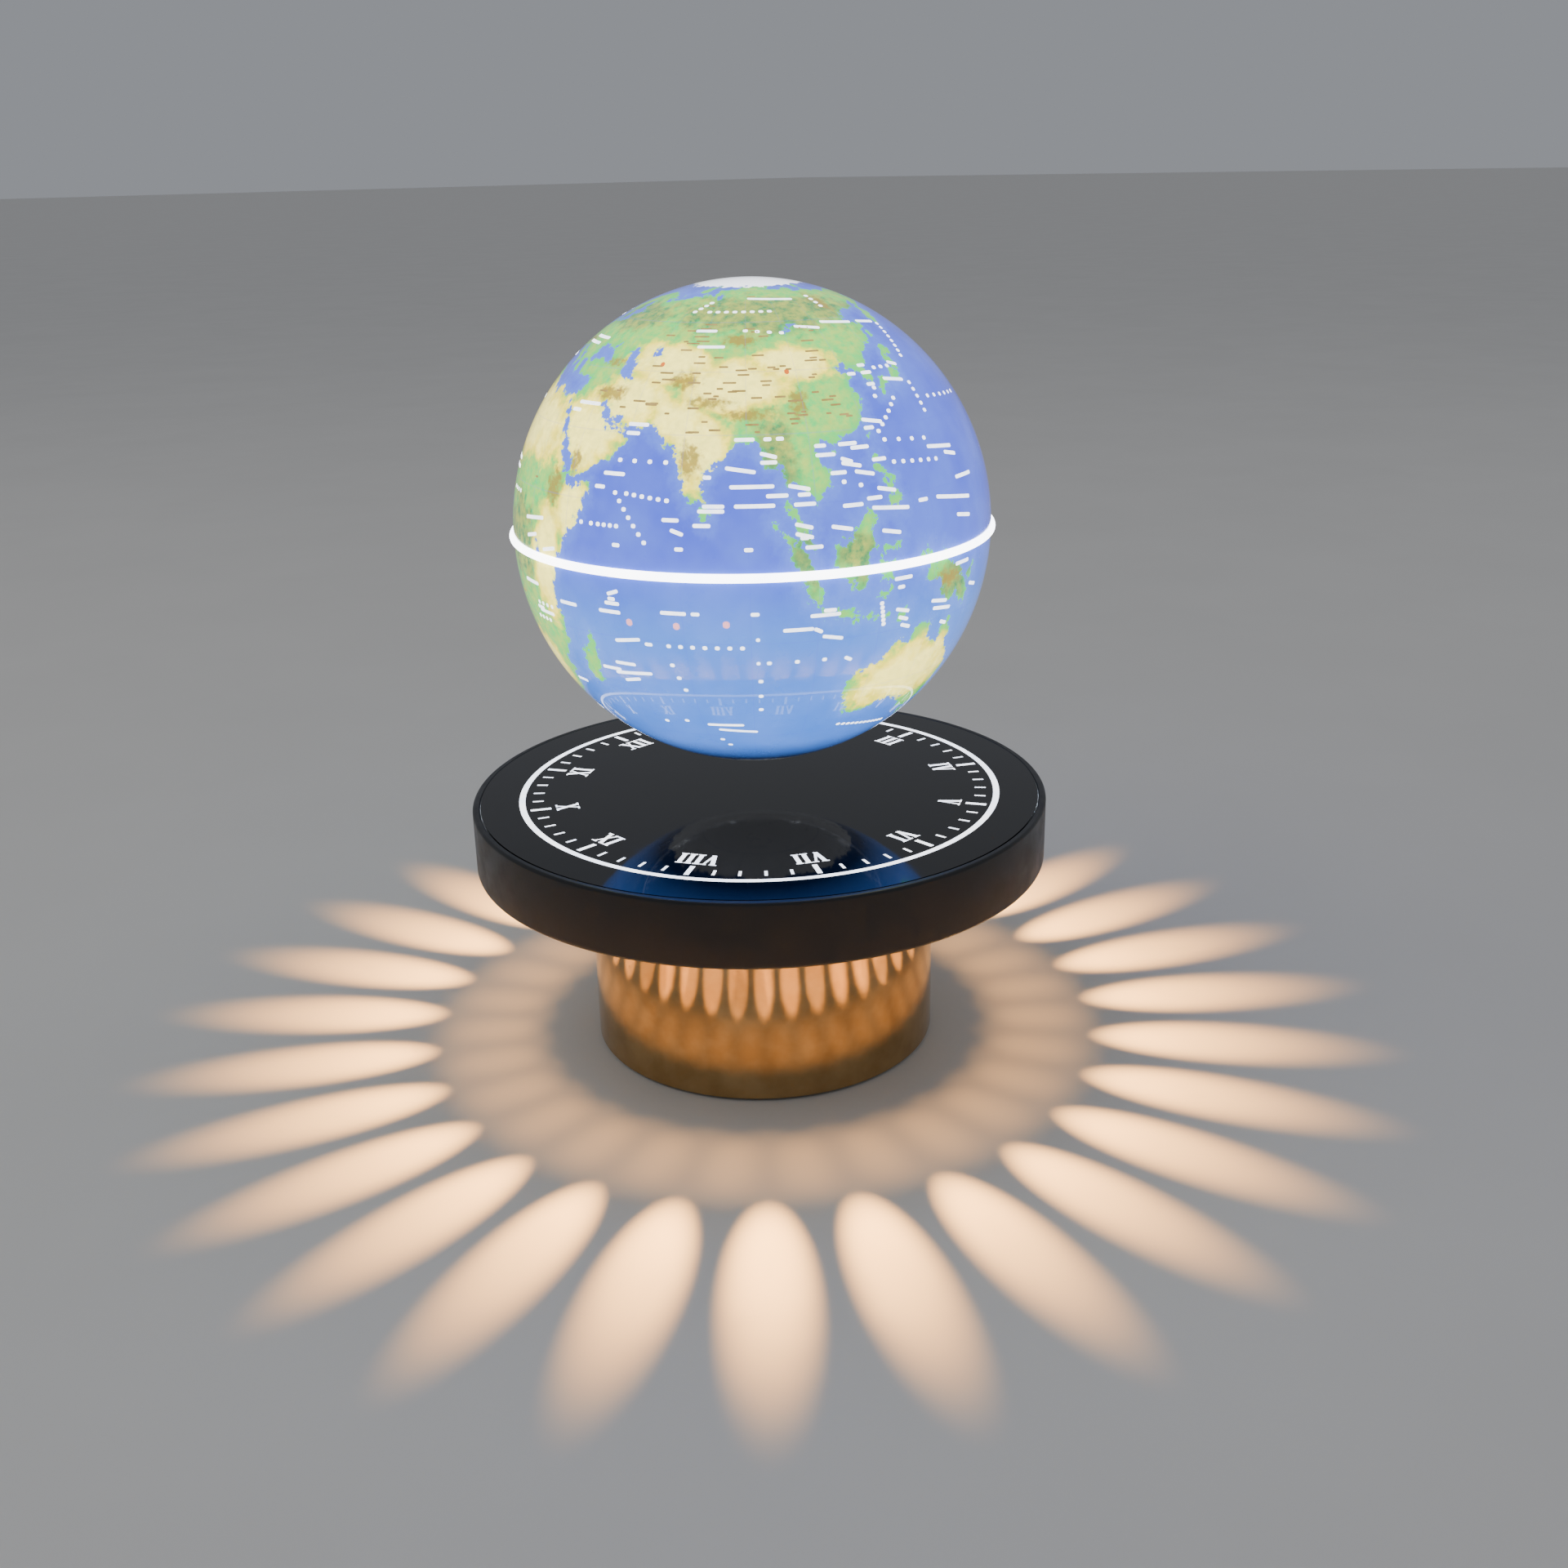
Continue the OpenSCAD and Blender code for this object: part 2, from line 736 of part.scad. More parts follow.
module base_plate() {
    color([0.1, 0.1, 0.1]) difference() {
        translate([0, 0, base_z0]) cylinder(r = drum_ri - seat_gap, h = base_t);
        around(4, post_orbit, 45) translate([0, 0, base_z0])
            flat_screw_hole(frame_screw, base_t + eps);
        around(3, ballast_r / 2, 90) translate([0, 0, base_z0])
            flat_screw_hole(frame_screw, base_t + eps);
        around(4, foot_orbit) translate([0, 0, base_z0 - eps])
            cylinder(d = foot_d + seat_gap, h = foot_recess + eps);
    }
}

module base_screws() {
    color("silver") around(4, post_orbit, 45) translate([0, 0, base_z0])
        flat_screw(frame_screw, base_t + frame_screw_reach);
}

module rubber_feet() {
    color([0.15, 0.15, 0.15]) around(4, foot_orbit)
        cylinder(d = foot_d, h = base_z0 + foot_recess);
}

module ballast_disc() {
    depth = ballast_t * 0.6;
    color("slategray") difference() {
        translate([0, 0, base_z1]) cylinder(r = ballast_r, h = ballast_t);
        around(3, ballast_r / 2, 90) translate([0, 0, base_z1 - eps])
            cylinder(r = frame_screw[0] + thread_gap, h = depth);
        board_corners() translate([0, 0, ballast_z1 - depth + eps])
            cylinder(r = board_screw[0] + thread_gap, h = depth);
    }
}

module ballast_screws() {
    color("silver") around(3, ballast_r / 2, 90) translate([0, 0, base_z0])
        flat_screw(frame_screw, base_t + ballast_t * 0.6 - 0.5);
}

// ---------------------------------------------------------------- control board

module board_corners() {
    for (x = [-1, 1], y = [-1, 1]) translate([x * standoff_xy, y * standoff_xy, 0]) children();
}

// Places on the board as shares of its half size, since the board fits between the posts
module on_board(x, y) {
    translate([x * board_half, y * board_half, board_z1]) children();
}

module board_standoffs() {
    stud = ballast_t * 0.5;
    bore_depth = board_screw_reach + 1;
    color("khaki") board_corners() difference() {
        union() {
            translate([0, 0, ballast_z1]) cylinder(d = standoff_d, h = board_z - ballast_z1);
            translate([0, 0, ballast_z1 - stud]) cylinder(r = board_screw[0], h = stud + eps);
        }
        translate([0, 0, board_z - bore_depth])
            cylinder(r = board_screw[0] + thread_gap, h = bore_depth + eps);
    }
}

module control_board() {
    color("darkgreen") difference() {
        translate([0, 0, board_z]) linear_extrude(height = board_t)
            rounded_rect(2 * board_half, 2 * board_half, board_round);
        board_corners() translate([0, 0, board_z - eps])
            cylinder(r = board_screw[0] + thread_gap, h = board_t + 2 * eps);
    }
}

module board_screws() {
    color("silver") board_corners() translate([0, 0, board_z1])
        pan_screw(board_screw, board_t + board_screw_reach);
}

module controller_chip() {
    color("black") on_board(0.5, 0) box_on([9, 9, 1.4]);
}

module driver_chips() {
    color("black") for (x = [-0.36, 0, 0.36]) on_board(x, 0.62) box_on([5, 6.2, 1.6]);
}

module filter_capacitors() {
    color("midnightblue") for (x = [-0.36, 0, 0.36]) on_board(x, -0.62) cylinder(d = 7.6, h = 12);
}

module power_inductor() {
    color("dimgray") on_board(-0.5, 0) box_on([9, 9, 5]);
}

module board_connectors() {
    color("ivory") {
        on_board(0, 0) box_on(loom_socket);
        for (x = [jack_x, button_x])
            translate([x, panel_socket_y, board_z - panel_socket[2]]) box_on(panel_socket);
    }
}

module wire_loom() {
    loom_z0 = board_z1 + loom_socket[2];
    color("firebrick") translate([0, 0, loom_z0]) cylinder(d = loom_d, h = coil_z1 - loom_z0);
}

// Leads from the panel's parts: forward, then up into the sockets under the board
module panel_leads() {
    bend = 3;
    lead_r = 1.2;
    level = panel_z - 2;
    socket_y = panel_socket_y;
    color("darkred")
        for (lead = [[jack_x, jack_back_y], [button_x, switch_board_y - switch_board_t]]) {
            rod_y(lead_r, lead[0], level, socket_y + bend, lead[1]);
            translate([lead[0], socket_y, level + bend])
                cylinder(r = lead_r, h = board_z - panel_socket[2] - level - bend);
            translate([lead[0], socket_y + bend, level + bend]) rotate([90, 0, 90])
                rotate(180) rotate_extrude(angle = 90) translate([bend, 0]) circle(r = lead_r);
        }
}

// ---------------------------------------------------------------- rear panel

module rear_panel() {
    clear = seat_gap * 2;
    color([0.08, 0.08, 0.08]) difference() {
        union() {
            intersection() {
                ring(panel_ro, panel_ri, head_z0);
                through_rear() rounded_rect(panel_w - clear, panel_h - clear, panel_round - seat_gap);
            }
            intersection() {
                ring(drum_ri - bond_gap, panel_ri, head_z0);
                through_rear()
                    rounded_rect(panel_w + 2 * panel_lap, panel_h + 2 * panel_lap, panel_round);
            }
            for (s = [-1, 1])
                rod_y(pillar_r, button_x, panel_z + s * pillar_z, switch_board_y, panel_ri - 0.5);
        }
        rod_y(jack_nose_r + bond_gap, jack_x, panel_z, 0, drum_r);
        rod_y(button_r + button_gap, button_x, panel_z, 0, drum_r);
    }
}

module dc_jack() {
    body_front_y = sqrt(pow(panel_ri, 2) - pow(abs(jack_x) + jack_body[0] / 2, 2)) - bond_gap;
    color("black") difference() {
        union() {
            rod_y(jack_nose_r, jack_x, panel_z, jack_back_y + 1, jack_face_y);
            translate([jack_x - jack_body[0] / 2, jack_back_y, panel_z - jack_body[2] / 2])
                cube([jack_body[0], body_front_y - jack_back_y, jack_body[2]]);
        }
        rod_y(jack_bore / 2, jack_x, panel_z, jack_face_y - jack_depth, drum_r);
    }
}

module jack_pin() {
    color("silver")
        rod_y(jack_pin_d / 2, jack_x, panel_z, jack_face_y - jack_depth, jack_face_y - jack_pin_short);
}

module lamp_button() {
    color("dimgray") {
        rod_y(button_r, button_x, panel_z, button_flange_y - eps, button_front_y);
        rod_y(button_flange_r, button_x, panel_z, button_flange_y - button_flange_t, button_flange_y);
        rod_y(button_stem_r, button_x, panel_z, button_back_y,
            button_flange_y - button_flange_t + eps);
    }
}

module button_switch() {
    color("black") {
        translate([button_x - switch_body[0] / 2, switch_board_y, panel_z - switch_body[2] / 2])
            cube(switch_body);
        rod_y(switch_plunger_r, button_x, panel_z, switch_front_y - eps, switch_front_y + switch_plunger_h);
    }
}

module switch_board() {
    w = 9;
    h = 2 * (pillar_z + pillar_r) + 1;
    color("seagreen") translate([button_x - w / 2, switch_board_y - switch_board_t, panel_z - h / 2])
        cube([w, switch_board_t, h]);
}

// ---------------------------------------------------------------- drawing

globe_north_shell();
globe_south_shell();
equator_band();
pod_cup();
pod_lid();
pod_screws();
receiver_coil();
globe_board();
globe_leds();
rectifier_chip();
globe_capacitor();
globe_choke();
lamp_dome();
levitation_magnet();
head_tray();
window_lens();
dial_face();
dial_border_ring();
hour_ring();
hour_marks();
minute_marks();
hour_numerals();
dial_light_guide();
transmitter_coil();
ring_magnet();
yoke_plate();
coil_bobbins();
coil_windings();
coil_cores();
sensor_board();
hall_sensors();
led_carrier();
led_strip();
led_chips();
head_screws();
drum_sleeve();
seat_ring();
tie_posts();
base_plate();
base_screws();
rubber_feet();
ballast_disc();
ballast_screws();
board_standoffs();
control_board();
board_screws();
controller_chip();
driver_chips();
filter_capacitors();
power_inductor();
board_connectors();
wire_loom();
panel_leads();
rear_panel();
dc_jack();
jack_pin();
lamp_button();
button_switch();
switch_board();
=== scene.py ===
import json
import math
import random

import bmesh
import bpy
import numpy as np
from bpy.props import FloatProperty, FloatVectorProperty, IntProperty, PointerProperty
from mathutils import Matrix, Vector


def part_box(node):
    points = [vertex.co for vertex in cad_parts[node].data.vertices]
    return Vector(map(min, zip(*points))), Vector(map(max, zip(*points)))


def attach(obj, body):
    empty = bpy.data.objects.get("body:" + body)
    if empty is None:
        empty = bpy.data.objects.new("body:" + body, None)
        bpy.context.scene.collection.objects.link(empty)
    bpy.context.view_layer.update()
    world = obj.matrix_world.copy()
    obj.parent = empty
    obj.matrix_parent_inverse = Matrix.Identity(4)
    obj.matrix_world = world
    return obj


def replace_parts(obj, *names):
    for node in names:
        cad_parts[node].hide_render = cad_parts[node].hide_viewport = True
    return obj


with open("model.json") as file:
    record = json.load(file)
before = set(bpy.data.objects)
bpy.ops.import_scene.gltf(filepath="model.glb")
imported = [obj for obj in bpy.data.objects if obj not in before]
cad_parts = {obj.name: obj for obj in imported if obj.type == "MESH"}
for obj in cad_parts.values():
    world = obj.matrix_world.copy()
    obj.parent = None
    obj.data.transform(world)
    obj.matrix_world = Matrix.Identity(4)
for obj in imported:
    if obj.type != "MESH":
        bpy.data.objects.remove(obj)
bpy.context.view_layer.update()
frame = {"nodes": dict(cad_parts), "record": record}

bl_info = {
    "name": "Levitating Desk Globe",
    "version": (1, 0, 0),
    "blender": (4, 5, 0),
    "location": "3D View > Sidebar > Globe",
    "description": "Builds the lit globe, its clock-dial head and its polished drum stand",
    "category": "Object",
}

MM = 0.001


# ------------------------------------------------------------------ places from the frame

def box_radius(node_name):
    low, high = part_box(node_name)
    return (high.x - low.x) / 2


NORTH_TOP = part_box("globe_north_shell")[1].z
SOUTH_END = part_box("globe_south_shell")[0].z
BALL_Z = (NORTH_TOP + SOUTH_END) / 2
BALL_R = (NORTH_TOP - SOUTH_END) / 2
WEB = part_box("globe_north_shell")[0].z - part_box("globe_south_shell")[1].z
HEAD_R = box_radius("head_tray")
HEAD_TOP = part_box("head_tray")[1].z
DRUM_R = box_radius("drum_sleeve")
DRUM_Z0, DRUM_Z1 = (corner.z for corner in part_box("drum_sleeve"))
HEAD_Z0 = DRUM_Z1
FLOOR_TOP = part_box("window_lens")[0].z
LENS_R = box_radius("window_lens")
GUIDE_Z0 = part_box("dial_light_guide")[0].z
FOOT_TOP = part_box("rubber_feet")[1].z
FEET_REACH = box_radius("rubber_feet")


def linear(code):
    """An sRGB hex colour as scene-linear red, green and blue."""
    parts = [int(code[i:i + 2], 16) / 255 for i in (1, 3, 5)]
    return tuple(c / 12.92 if c <= 0.04045 else ((c + 0.055) / 1.055) ** 2.4 for c in parts)


def colour_prop(name, code, description):
    return FloatVectorProperty(name=name, description=description, subtype="COLOR", size=3,
                               min=0.0, max=1.0, default=linear(code))


def length_prop(name, mm, description):
    return FloatProperty(name=name, description=description, unit="LENGTH", subtype="DISTANCE",
                         min=0.0, default=mm * MM)


def angle_prop(name, degrees, description):
    return FloatProperty(name=name, description=description, subtype="ANGLE",
                         default=math.radians(degrees))


def strength_prop(name, value, description):
    return FloatProperty(name=name, description=description, min=0.0, default=value)


class GlobeBallSettings(bpy.types.PropertyGroup):
    wall: length_prop("Shell wall", 1.6, "Thickness of each half shell")
    band_height: length_prop("Band height", 2.6, "Height of the glowing bead at the equator")
    flange_height: length_prop("Flange height", 8.0, "Height of the flange inside the shells")
    flange_wall: length_prop("Flange wall", 1.1, "Wall of the flange inside the shells")
    label_width: length_prop("Label width", 1.1, "Width of the printed label strokes")
    turn: angle_prop("Map turn", 136, "Turn of longitude zero from the dial's three o'clock")
    sea: colour_prop("Sea", "#3343AC", "Open water")
    sea_south: colour_prop("Southern sea", "#3060B2", "Open water below the equator")
    shelf: colour_prop("Shelf", "#5A7CCC", "Shallow water along the coasts")
    lowland: colour_prop("Lowland", "#30AE50", "Green lowland")
    forest: colour_prop("Forest", "#1F6C42", "Dark forest")
    plain: colour_prop("Plain", "#E6D034", "Dry grassland")
    desert: colour_prop("Desert", "#FFF07A", "Desert and high plateau")
    mountain: colour_prop("Mountain", "#80661E", "Mountain brown")
    ice: colour_prop("Ice", "#F2F6FF", "Polar ice")
    glow: strength_prop("Glow", 3.4, "Strength of the light through the film")
    band_glow: strength_prop("Band glow", 9.0, "Strength of the light in the band")


class GlobeHeadSettings(bpy.types.PropertyGroup):
    edge_round: length_prop("Edge radius", 1.0, "Radius on the outer edges of the rim")
    rim_wall: length_prop("Rim wall", 2.4, "Wall of the rim beside the dial")
    ledge: length_prop("Ledge", 2.8, "Width of the ledge that carries the dial")
    spigot_wall: length_prop("Spigot wall", 1.4, "Wall of the ring that centres the drum")
    window_count: IntProperty(name="Windows", description="Light windows in the floor", default=27)
    window_length: length_prop("Window length", 12.5, "Length of a window along the radius")
    window_width: length_prop("Window width", 4.6, "Width of a window")
    window_edge: length_prop("Window edge", 1.8, "Floor between the windows and the ledge")
    mark_glow: strength_prop("Mark glow", 3.0, "Strength of the lit dial marks")


class GlobeDrumSettings(bpy.types.PropertyGroup):
    wall: length_prop("Sleeve wall", 1.5, "Wall of the drum sleeve")
    opening_round: length_prop("Opening radius", 3.0, "Corner radius of the rear opening")
    opening_gap: length_prop("Opening gap", 0.2, "Gap between the panel and its opening")
    flange_lap: length_prop("Flange lap", 3.0, "How far the panel's inner flange laps the sleeve")
    foot_width: length_prop("Foot width", 12.0, "Diameter of a rubber foot")


class GlobeStageSettings(bpy.types.PropertyGroup):
    lens: FloatProperty(name="Lens", description="Focal length in millimetres", default=38.35)
    bearing: angle_prop("Bearing", 43.9, "Heading of the camera, clockwise from +Y")
    pitch: angle_prop("Pitch", 20.32, "How far the camera looks down")
    roll: angle_prop("Roll", -1.16, "Turn of the camera about its own axis")
    place: FloatVectorProperty(name="Camera place", subtype="TRANSLATION", unit="LENGTH", size=3,
                               description="Where the camera stands",
                               default=(-0.3582, -0.3841, 0.2816))
    wall: colour_prop("Surroundings", "#C6CAD2", "Colour of the soft surroundings")
    floor: colour_prop("Floor", "#DEDBD5", "Colour of the pale floor")
    surroundings_strength: strength_prop("Surroundings strength", 0.5,
                                         "Strength of the soft surroundings")
    key_power: strength_prop("Key light", 7.0, "Power of the soft key light in watts")
    petal_power: strength_prop("Petal power", 3.0, "Power of the lamp behind each petal in watts")
    petal: colour_prop("Petal light", "#FFB661", "Colour of the light thrown on the table")


# ------------------------------------------------------------------ mesh helpers

ROUND_SEGMENTS = 360
ON_AXIS = 0.0001 * MM
WELD = 0.002 * MM
# Turns of the surface at an edge: merged as flat, shaded as a crease, rounded as a corner
FLAT = math.radians(1)
CREASE = math.radians(35)
CORNER = math.radians(40)


def finish_mesh(obj):
    """Smooth shading with creases at sharp edges, and normals that keep flat faces flat."""
    obj.data.shade_smooth()
    obj.data.set_sharp_from_angle(angle=CREASE)
    weighted = obj.modifiers.new("Flat faces stay flat", "WEIGHTED_NORMAL")
    weighted.keep_sharp = True
    return obj


def linked(name, data):
    """A new object in the scene that shows the data."""
    obj = bpy.data.objects.new(name, data)
    bpy.context.scene.collection.objects.link(obj)
    return obj


def plain_mesh(name, vertices, faces):
    mesh = bpy.data.meshes.new(name)
    mesh.from_pydata([tuple(v) for v in vertices], [], faces)
    mesh.update()
    return mesh


def mesh_piece(name, mesh, body, material):
    """The mesh as a piece of that body and its material."""
    mesh.materials.clear()
    mesh.materials.append(material)
    obj = linked(name, mesh)
    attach(obj, body)
    return obj


def new_piece(name, vertices, faces, body, slot, material):
    mesh = plain_mesh(name, vertices, faces)
    mesh.validate()
    return mesh_piece(name, mesh, body, material)


def arc(centre, radius, first, sweep, steps):
    """Points along an arc, from its first angle through the sweep, both in degrees."""
    turns = [math.radians(first + sweep * k / steps) for k in range(steps + 1)]
    return [(centre[0] + radius * math.cos(a), centre[1] + radius * math.sin(a)) for a in turns]


def eased(points, radius, steps=4):
    """The closed outline with each corner rounded by an arc of about that radius."""
    out = []
    for i, corner in enumerate(points):
        here = Vector(corner)
        ways = [Vector(points[i - 1]) - here, Vector(points[(i + 1) % len(points)]) - here]
        cut = min([radius] + [way.length * 0.49 for way in ways])
        start, end = (here + way.normalized() * cut for way in ways)
        for k in range(steps + 1):
            t = k / steps
            out.append(tuple(start * (1 - t) ** 2 + here * (2 * t * (1 - t)) + end * t ** 2))
    return out


def outline_area(profile):
    """Twice the outline's area, above zero where it runs counter-clockwise."""
    return sum(a[0] * b[1] - b[0] * a[1] for a, b in zip(profile, profile[1:] + profile[:1]))


def lathe_mesh(profile, segments, centre=(0, 0)):
    """Vertices and faces of a closed (radius, height) outline turned about an upright axis."""
    if outline_area(profile) < 0:
        profile = profile[::-1]
    vertices, rings, faces = [], [], []
    for radius, height in profile:
        if radius < ON_AXIS:
            rings.append([len(vertices)] * segments)
            vertices.append((centre[0], centre[1], height))
            continue
        rings.append(list(range(len(vertices), len(vertices) + segments)))
        for k in range(segments):
            a = 2 * math.pi * k / segments
            vertices.append((centre[0] + radius * math.cos(a), centre[1] + radius * math.sin(a),
                             height))
    for one, two in zip(rings, rings[1:] + rings[:1]):
        for k in range(segments):
            n = (k + 1) % segments
            face = [one[k], one[n], two[n], two[k]]
            kept = [v for j, v in enumerate(face) if v != face[j - 1]]
            if len(kept) > 2:
                faces.append(kept[::-1])
    return vertices, faces


def lathe(name, profile, body, slot, material, cutter=None):
    """A turned solid: the closed outline in radius and height, turned, less the cutter."""
    piece = new_piece(name, *lathe_mesh(profile, ROUND_SEGMENTS), body, slot, material)
    if cutter:
        cut_away(piece, *cutter)
    return finish_mesh(piece)


def joined(parts):
    """Several (vertices, faces) as one."""
    vertices, faces = [], []
    for part_vertices, part_faces in parts:
        base = len(vertices)
        vertices += part_vertices
        faces += [[base + i for i in face] for face in part_faces]
    return vertices, faces


def prism(outline, z0, z1):
    """An upright prism of a counter-clockwise outline in X and Y."""
    n = len(outline)
    vertices = [(x, y, z) for z in (z0, z1) for x, y in outline]
    faces = [list(range(n))[::-1], list(range(n, 2 * n))]
    faces += [[k, (k + 1) % n, n + (k + 1) % n, n + k] for k in range(n)]
    return vertices, faces


def cut_away(obj, vertices, faces):
    """Takes a closed cutter away from the piece and keeps the result as its mesh."""
    cutter = linked("cutter", plain_mesh("cutter", vertices, faces))
    boolean = obj.modifiers.new("Cut", "BOOLEAN")
    boolean.operation = "DIFFERENCE"
    boolean.solver = "EXACT"
    boolean.object = cutter
    bpy.context.view_layer.update()
    graph = bpy.context.evaluated_depsgraph_get()
    shaped = bpy.data.meshes.new_from_object(obj.evaluated_get(graph))
    obj.modifiers.remove(boolean)
    obj.data = shaped
    bpy.data.objects.remove(cutter)


def finished_copy(node_name, name, body, material, round_mm, steps=3, cutter=None):
    """A piece with the node's own shape and softly rounded edges, which stands for the node."""
    mesh = frame["nodes"][node_name].data.copy()
    shape = bmesh.new()
    shape.from_mesh(mesh)
    bmesh.ops.remove_doubles(shape, verts=shape.verts, dist=WELD)
    bmesh.ops.dissolve_limit(shape, angle_limit=FLAT, verts=shape.verts, edges=shape.edges)
    edges = [e for e in shape.edges if len(e.link_faces) == 2
             and e.calc_face_angle(0) > CORNER]
    bmesh.ops.bevel(shape, geom=edges, offset=round_mm * MM, segments=steps, profile=0.5,
                    affect="EDGES", clamp_overlap=True)
    shape.to_mesh(mesh)
    shape.free()
    obj = mesh_piece(name, mesh, body, material)
    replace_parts(obj, node_name)
    if cutter:
        cut_away(obj, *cutter)
    return finish_mesh(obj)


# ------------------------------------------------------------------ material helpers

def per_metre(mm):
    """Pattern scale for detail of that real size."""
    return 1 / (mm * MM)


def node(tree, kind, inputs=None, output=0, **settings):
    """Adds a node, sets it up, links or sets its inputs, and returns one of its outputs."""
    new = tree.nodes.new(kind)
    for key, value in settings.items():
        setattr(new, key, value)
    for key, value in (inputs or {}).items():
        if isinstance(value, bpy.types.NodeSocket):
            tree.links.new(value, new.inputs[key])
        else:
            new.inputs[key].default_value = value
    return new.outputs[output]


def rgba(colour):
    return (*colour[:3], 1.0)


def start_material(name):
    """An empty material, its node tree, and coordinates in metres that stay with the piece."""
    material = bpy.data.materials.new(name)
    material.use_nodes = True
    tree = material.node_tree
    tree.nodes.clear()
    return material, tree, node(tree, "ShaderNodeTexCoord", output="Object")


def end_material(tree, inputs):
    """Ends the tree with its one shader, given those inputs."""
    shader = node(tree, "ShaderNodeBsdfPrincipled", inputs)
    output = tree.nodes.new("ShaderNodeOutputMaterial")
    tree.links.new(shader, output.inputs["Surface"])


def patches(tree, place, size_mm, low=0.0, high=1.0, detail=3.0, stretch=(1, 1, 1)):
    """Soft patches of about that size, which run from low to high."""
    placed = node(tree, "ShaderNodeMapping", {"Vector": place, "Scale": stretch})
    clouds = node(tree, "ShaderNodeTexNoise",
                  {"Vector": placed, "Scale": per_metre(size_mm), "Detail": detail,
                   "Roughness": 0.6})
    return node(tree, "ShaderNodeMapRange", {"Value": clouds, "From Min": 0.35, "From Max": 0.65,
                                             "To Min": low, "To Max": high})


def layered(tree, colour, layers):
    """Colours laid one over another, each as thick as its own share says."""
    for share, over in layers:
        colour = node(tree, "ShaderNodeMix", {0: share, 6: colour, 7: over}, output=2,
                      data_type="RGBA")
    return colour


def two_tone(tree, place, size_mm, one, two):
    """Patches of that size that run from one colour to the other."""
    return layered(tree, rgba(one), [(patches(tree, place, size_mm), rgba(two))])


def grain(tree, place, size_mm, depth_mm, stretch=(1, 1, 1)):
    """A surface that rises and falls by that depth over that width."""
    height = patches(tree, place, size_mm, stretch=stretch)
    return node(tree, "ShaderNodeBump", {"Height": height, "Distance": depth_mm * MM})


# ------------------------------------------------------------------ plastics

def moulded(name, colour, shade, grain_mm, depth_mm, low, high):
    """Moulded plastic: cloudy pigment, spark-eroded mould grain, and gloss worn a little uneven."""
    material, tree, place = start_material(name)
    end_material(tree, {
        "Base Color": two_tone(tree, place, 14, linear(colour), linear(shade)),
        "Roughness": patches(tree, place, 9, low, high),
        "Normal": grain(tree, place, grain_mm, depth_mm),
        "IOR": 1.53,
    })
    return material


# By slot: name, colour, shade, grain width and depth in mm, and roughness at best and at worst
MOULDED = {
    # A soft, even black that catches a broad highlight
    "black_satin": ("Satin moulded ABS, black", "#08080A", "#0E0E10", 0.5, 0.010, 0.30, 0.42),
    # A dark grey key, smoother than the panel round it
    "button_plastic": ("Moulded ABS, charcoal", "#26272A", "#303236", 0.4, 0.006, 0.30, 0.42),
    # A dry black with a rougher skin where the fibres show
    "black_plastic": ("Glass-filled nylon, black", "#101011", "#1B1B1C", 0.5, 0.02, 0.5, 0.68),
    # Mid grey, even and dull
    "grey_plastic": ("Moulded ABS, grey", "#57585C", "#626468", 0.4, 0.012, 0.45, 0.58),
    # Unpigmented: a warm, waxy ivory
    "ivory_plastic": ("Moulded nylon, ivory", "#DDD3B4", "#CFC4A2", 0.6, 0.010, 0.36, 0.5),
    # Bright and plain, to throw light outwards
    "white_plastic": ("Moulded ABS, white", "#EDEDEA", "#DFDFDC", 0.5, 0.008, 0.4, 0.52),
    # Matt black, dusty, with moulding grain
    "foot_rubber": ("Moulded nitrile rubber, black", "#141414", "#222120", 0.5, 0.03, 0.72, 0.9),
    # A dull red wire cover with a soft sheen
    "wire_cover": ("Extruded PVC insulation, red", "#6E1713", "#8A201A", 0.7, 0.01, 0.4, 0.55),
    # A charcoal chip package, finely textured
    "chip_black": ("Moulded epoxy, charcoal", "#1A1B1C", "#232425", 0.3, 0.01, 0.55, 0.7),
    # A dark grey ceramic with a ground, slightly speckled face
    "ferrite": ("Sintered ferrite, ground", "#26262A", "#3A3A40", 0.8, 0.01, 0.38, 0.55),
}


def lit_plastic(name, one, two, size_mm, low, high, ior, strength):
    """Plastic lit from behind: an almost even glow, a little different from place to place."""
    material, tree, place = start_material(name)
    tone = two_tone(tree, place, size_mm, linear(one), linear(two))
    end_material(tree, {
        "Base Color": tone,
        "Roughness": patches(tree, place, 3, low, high),
        "IOR": ior,
        "Emission Color": tone,
        "Emission Strength": strength,
    })
    return material


def opal_acrylic_moulding():
    """Opal acrylic: milky white that spreads the lamps' light, with a soft gloss."""
    return lit_plastic("Opal acrylic, moulded", "#F2F3F5", "#E6E9EE", 6, 0.28, 0.4, 1.49, 2.0)


def lit_acrylic_marks(strength):
    """The light guide's bright face seen through the mask: a cool white."""
    return lit_plastic("Lit acrylic marks", "#FFFFFF", "#EAF2FF", 9, 0.2, 0.3, 1.49, strength)


def opal_band_moulding(strength):
    """Opal polycarbonate bead, lit from inside: an even white line with a satin skin."""
    return lit_plastic("Opal polycarbonate band, lit", "#FFFFFF", "#EEF3FF", 18, 0.25, 0.35, 1.58,
                       strength)


def lamp_phosphor():
    """Phosphor over a lamp chip: a small, bright, warm yellow."""
    return lit_plastic("Lamp phosphor, lit", "#FFE3A6", "#FFD280", 0.4, 0.45, 0.6, 1.5, 8.0)


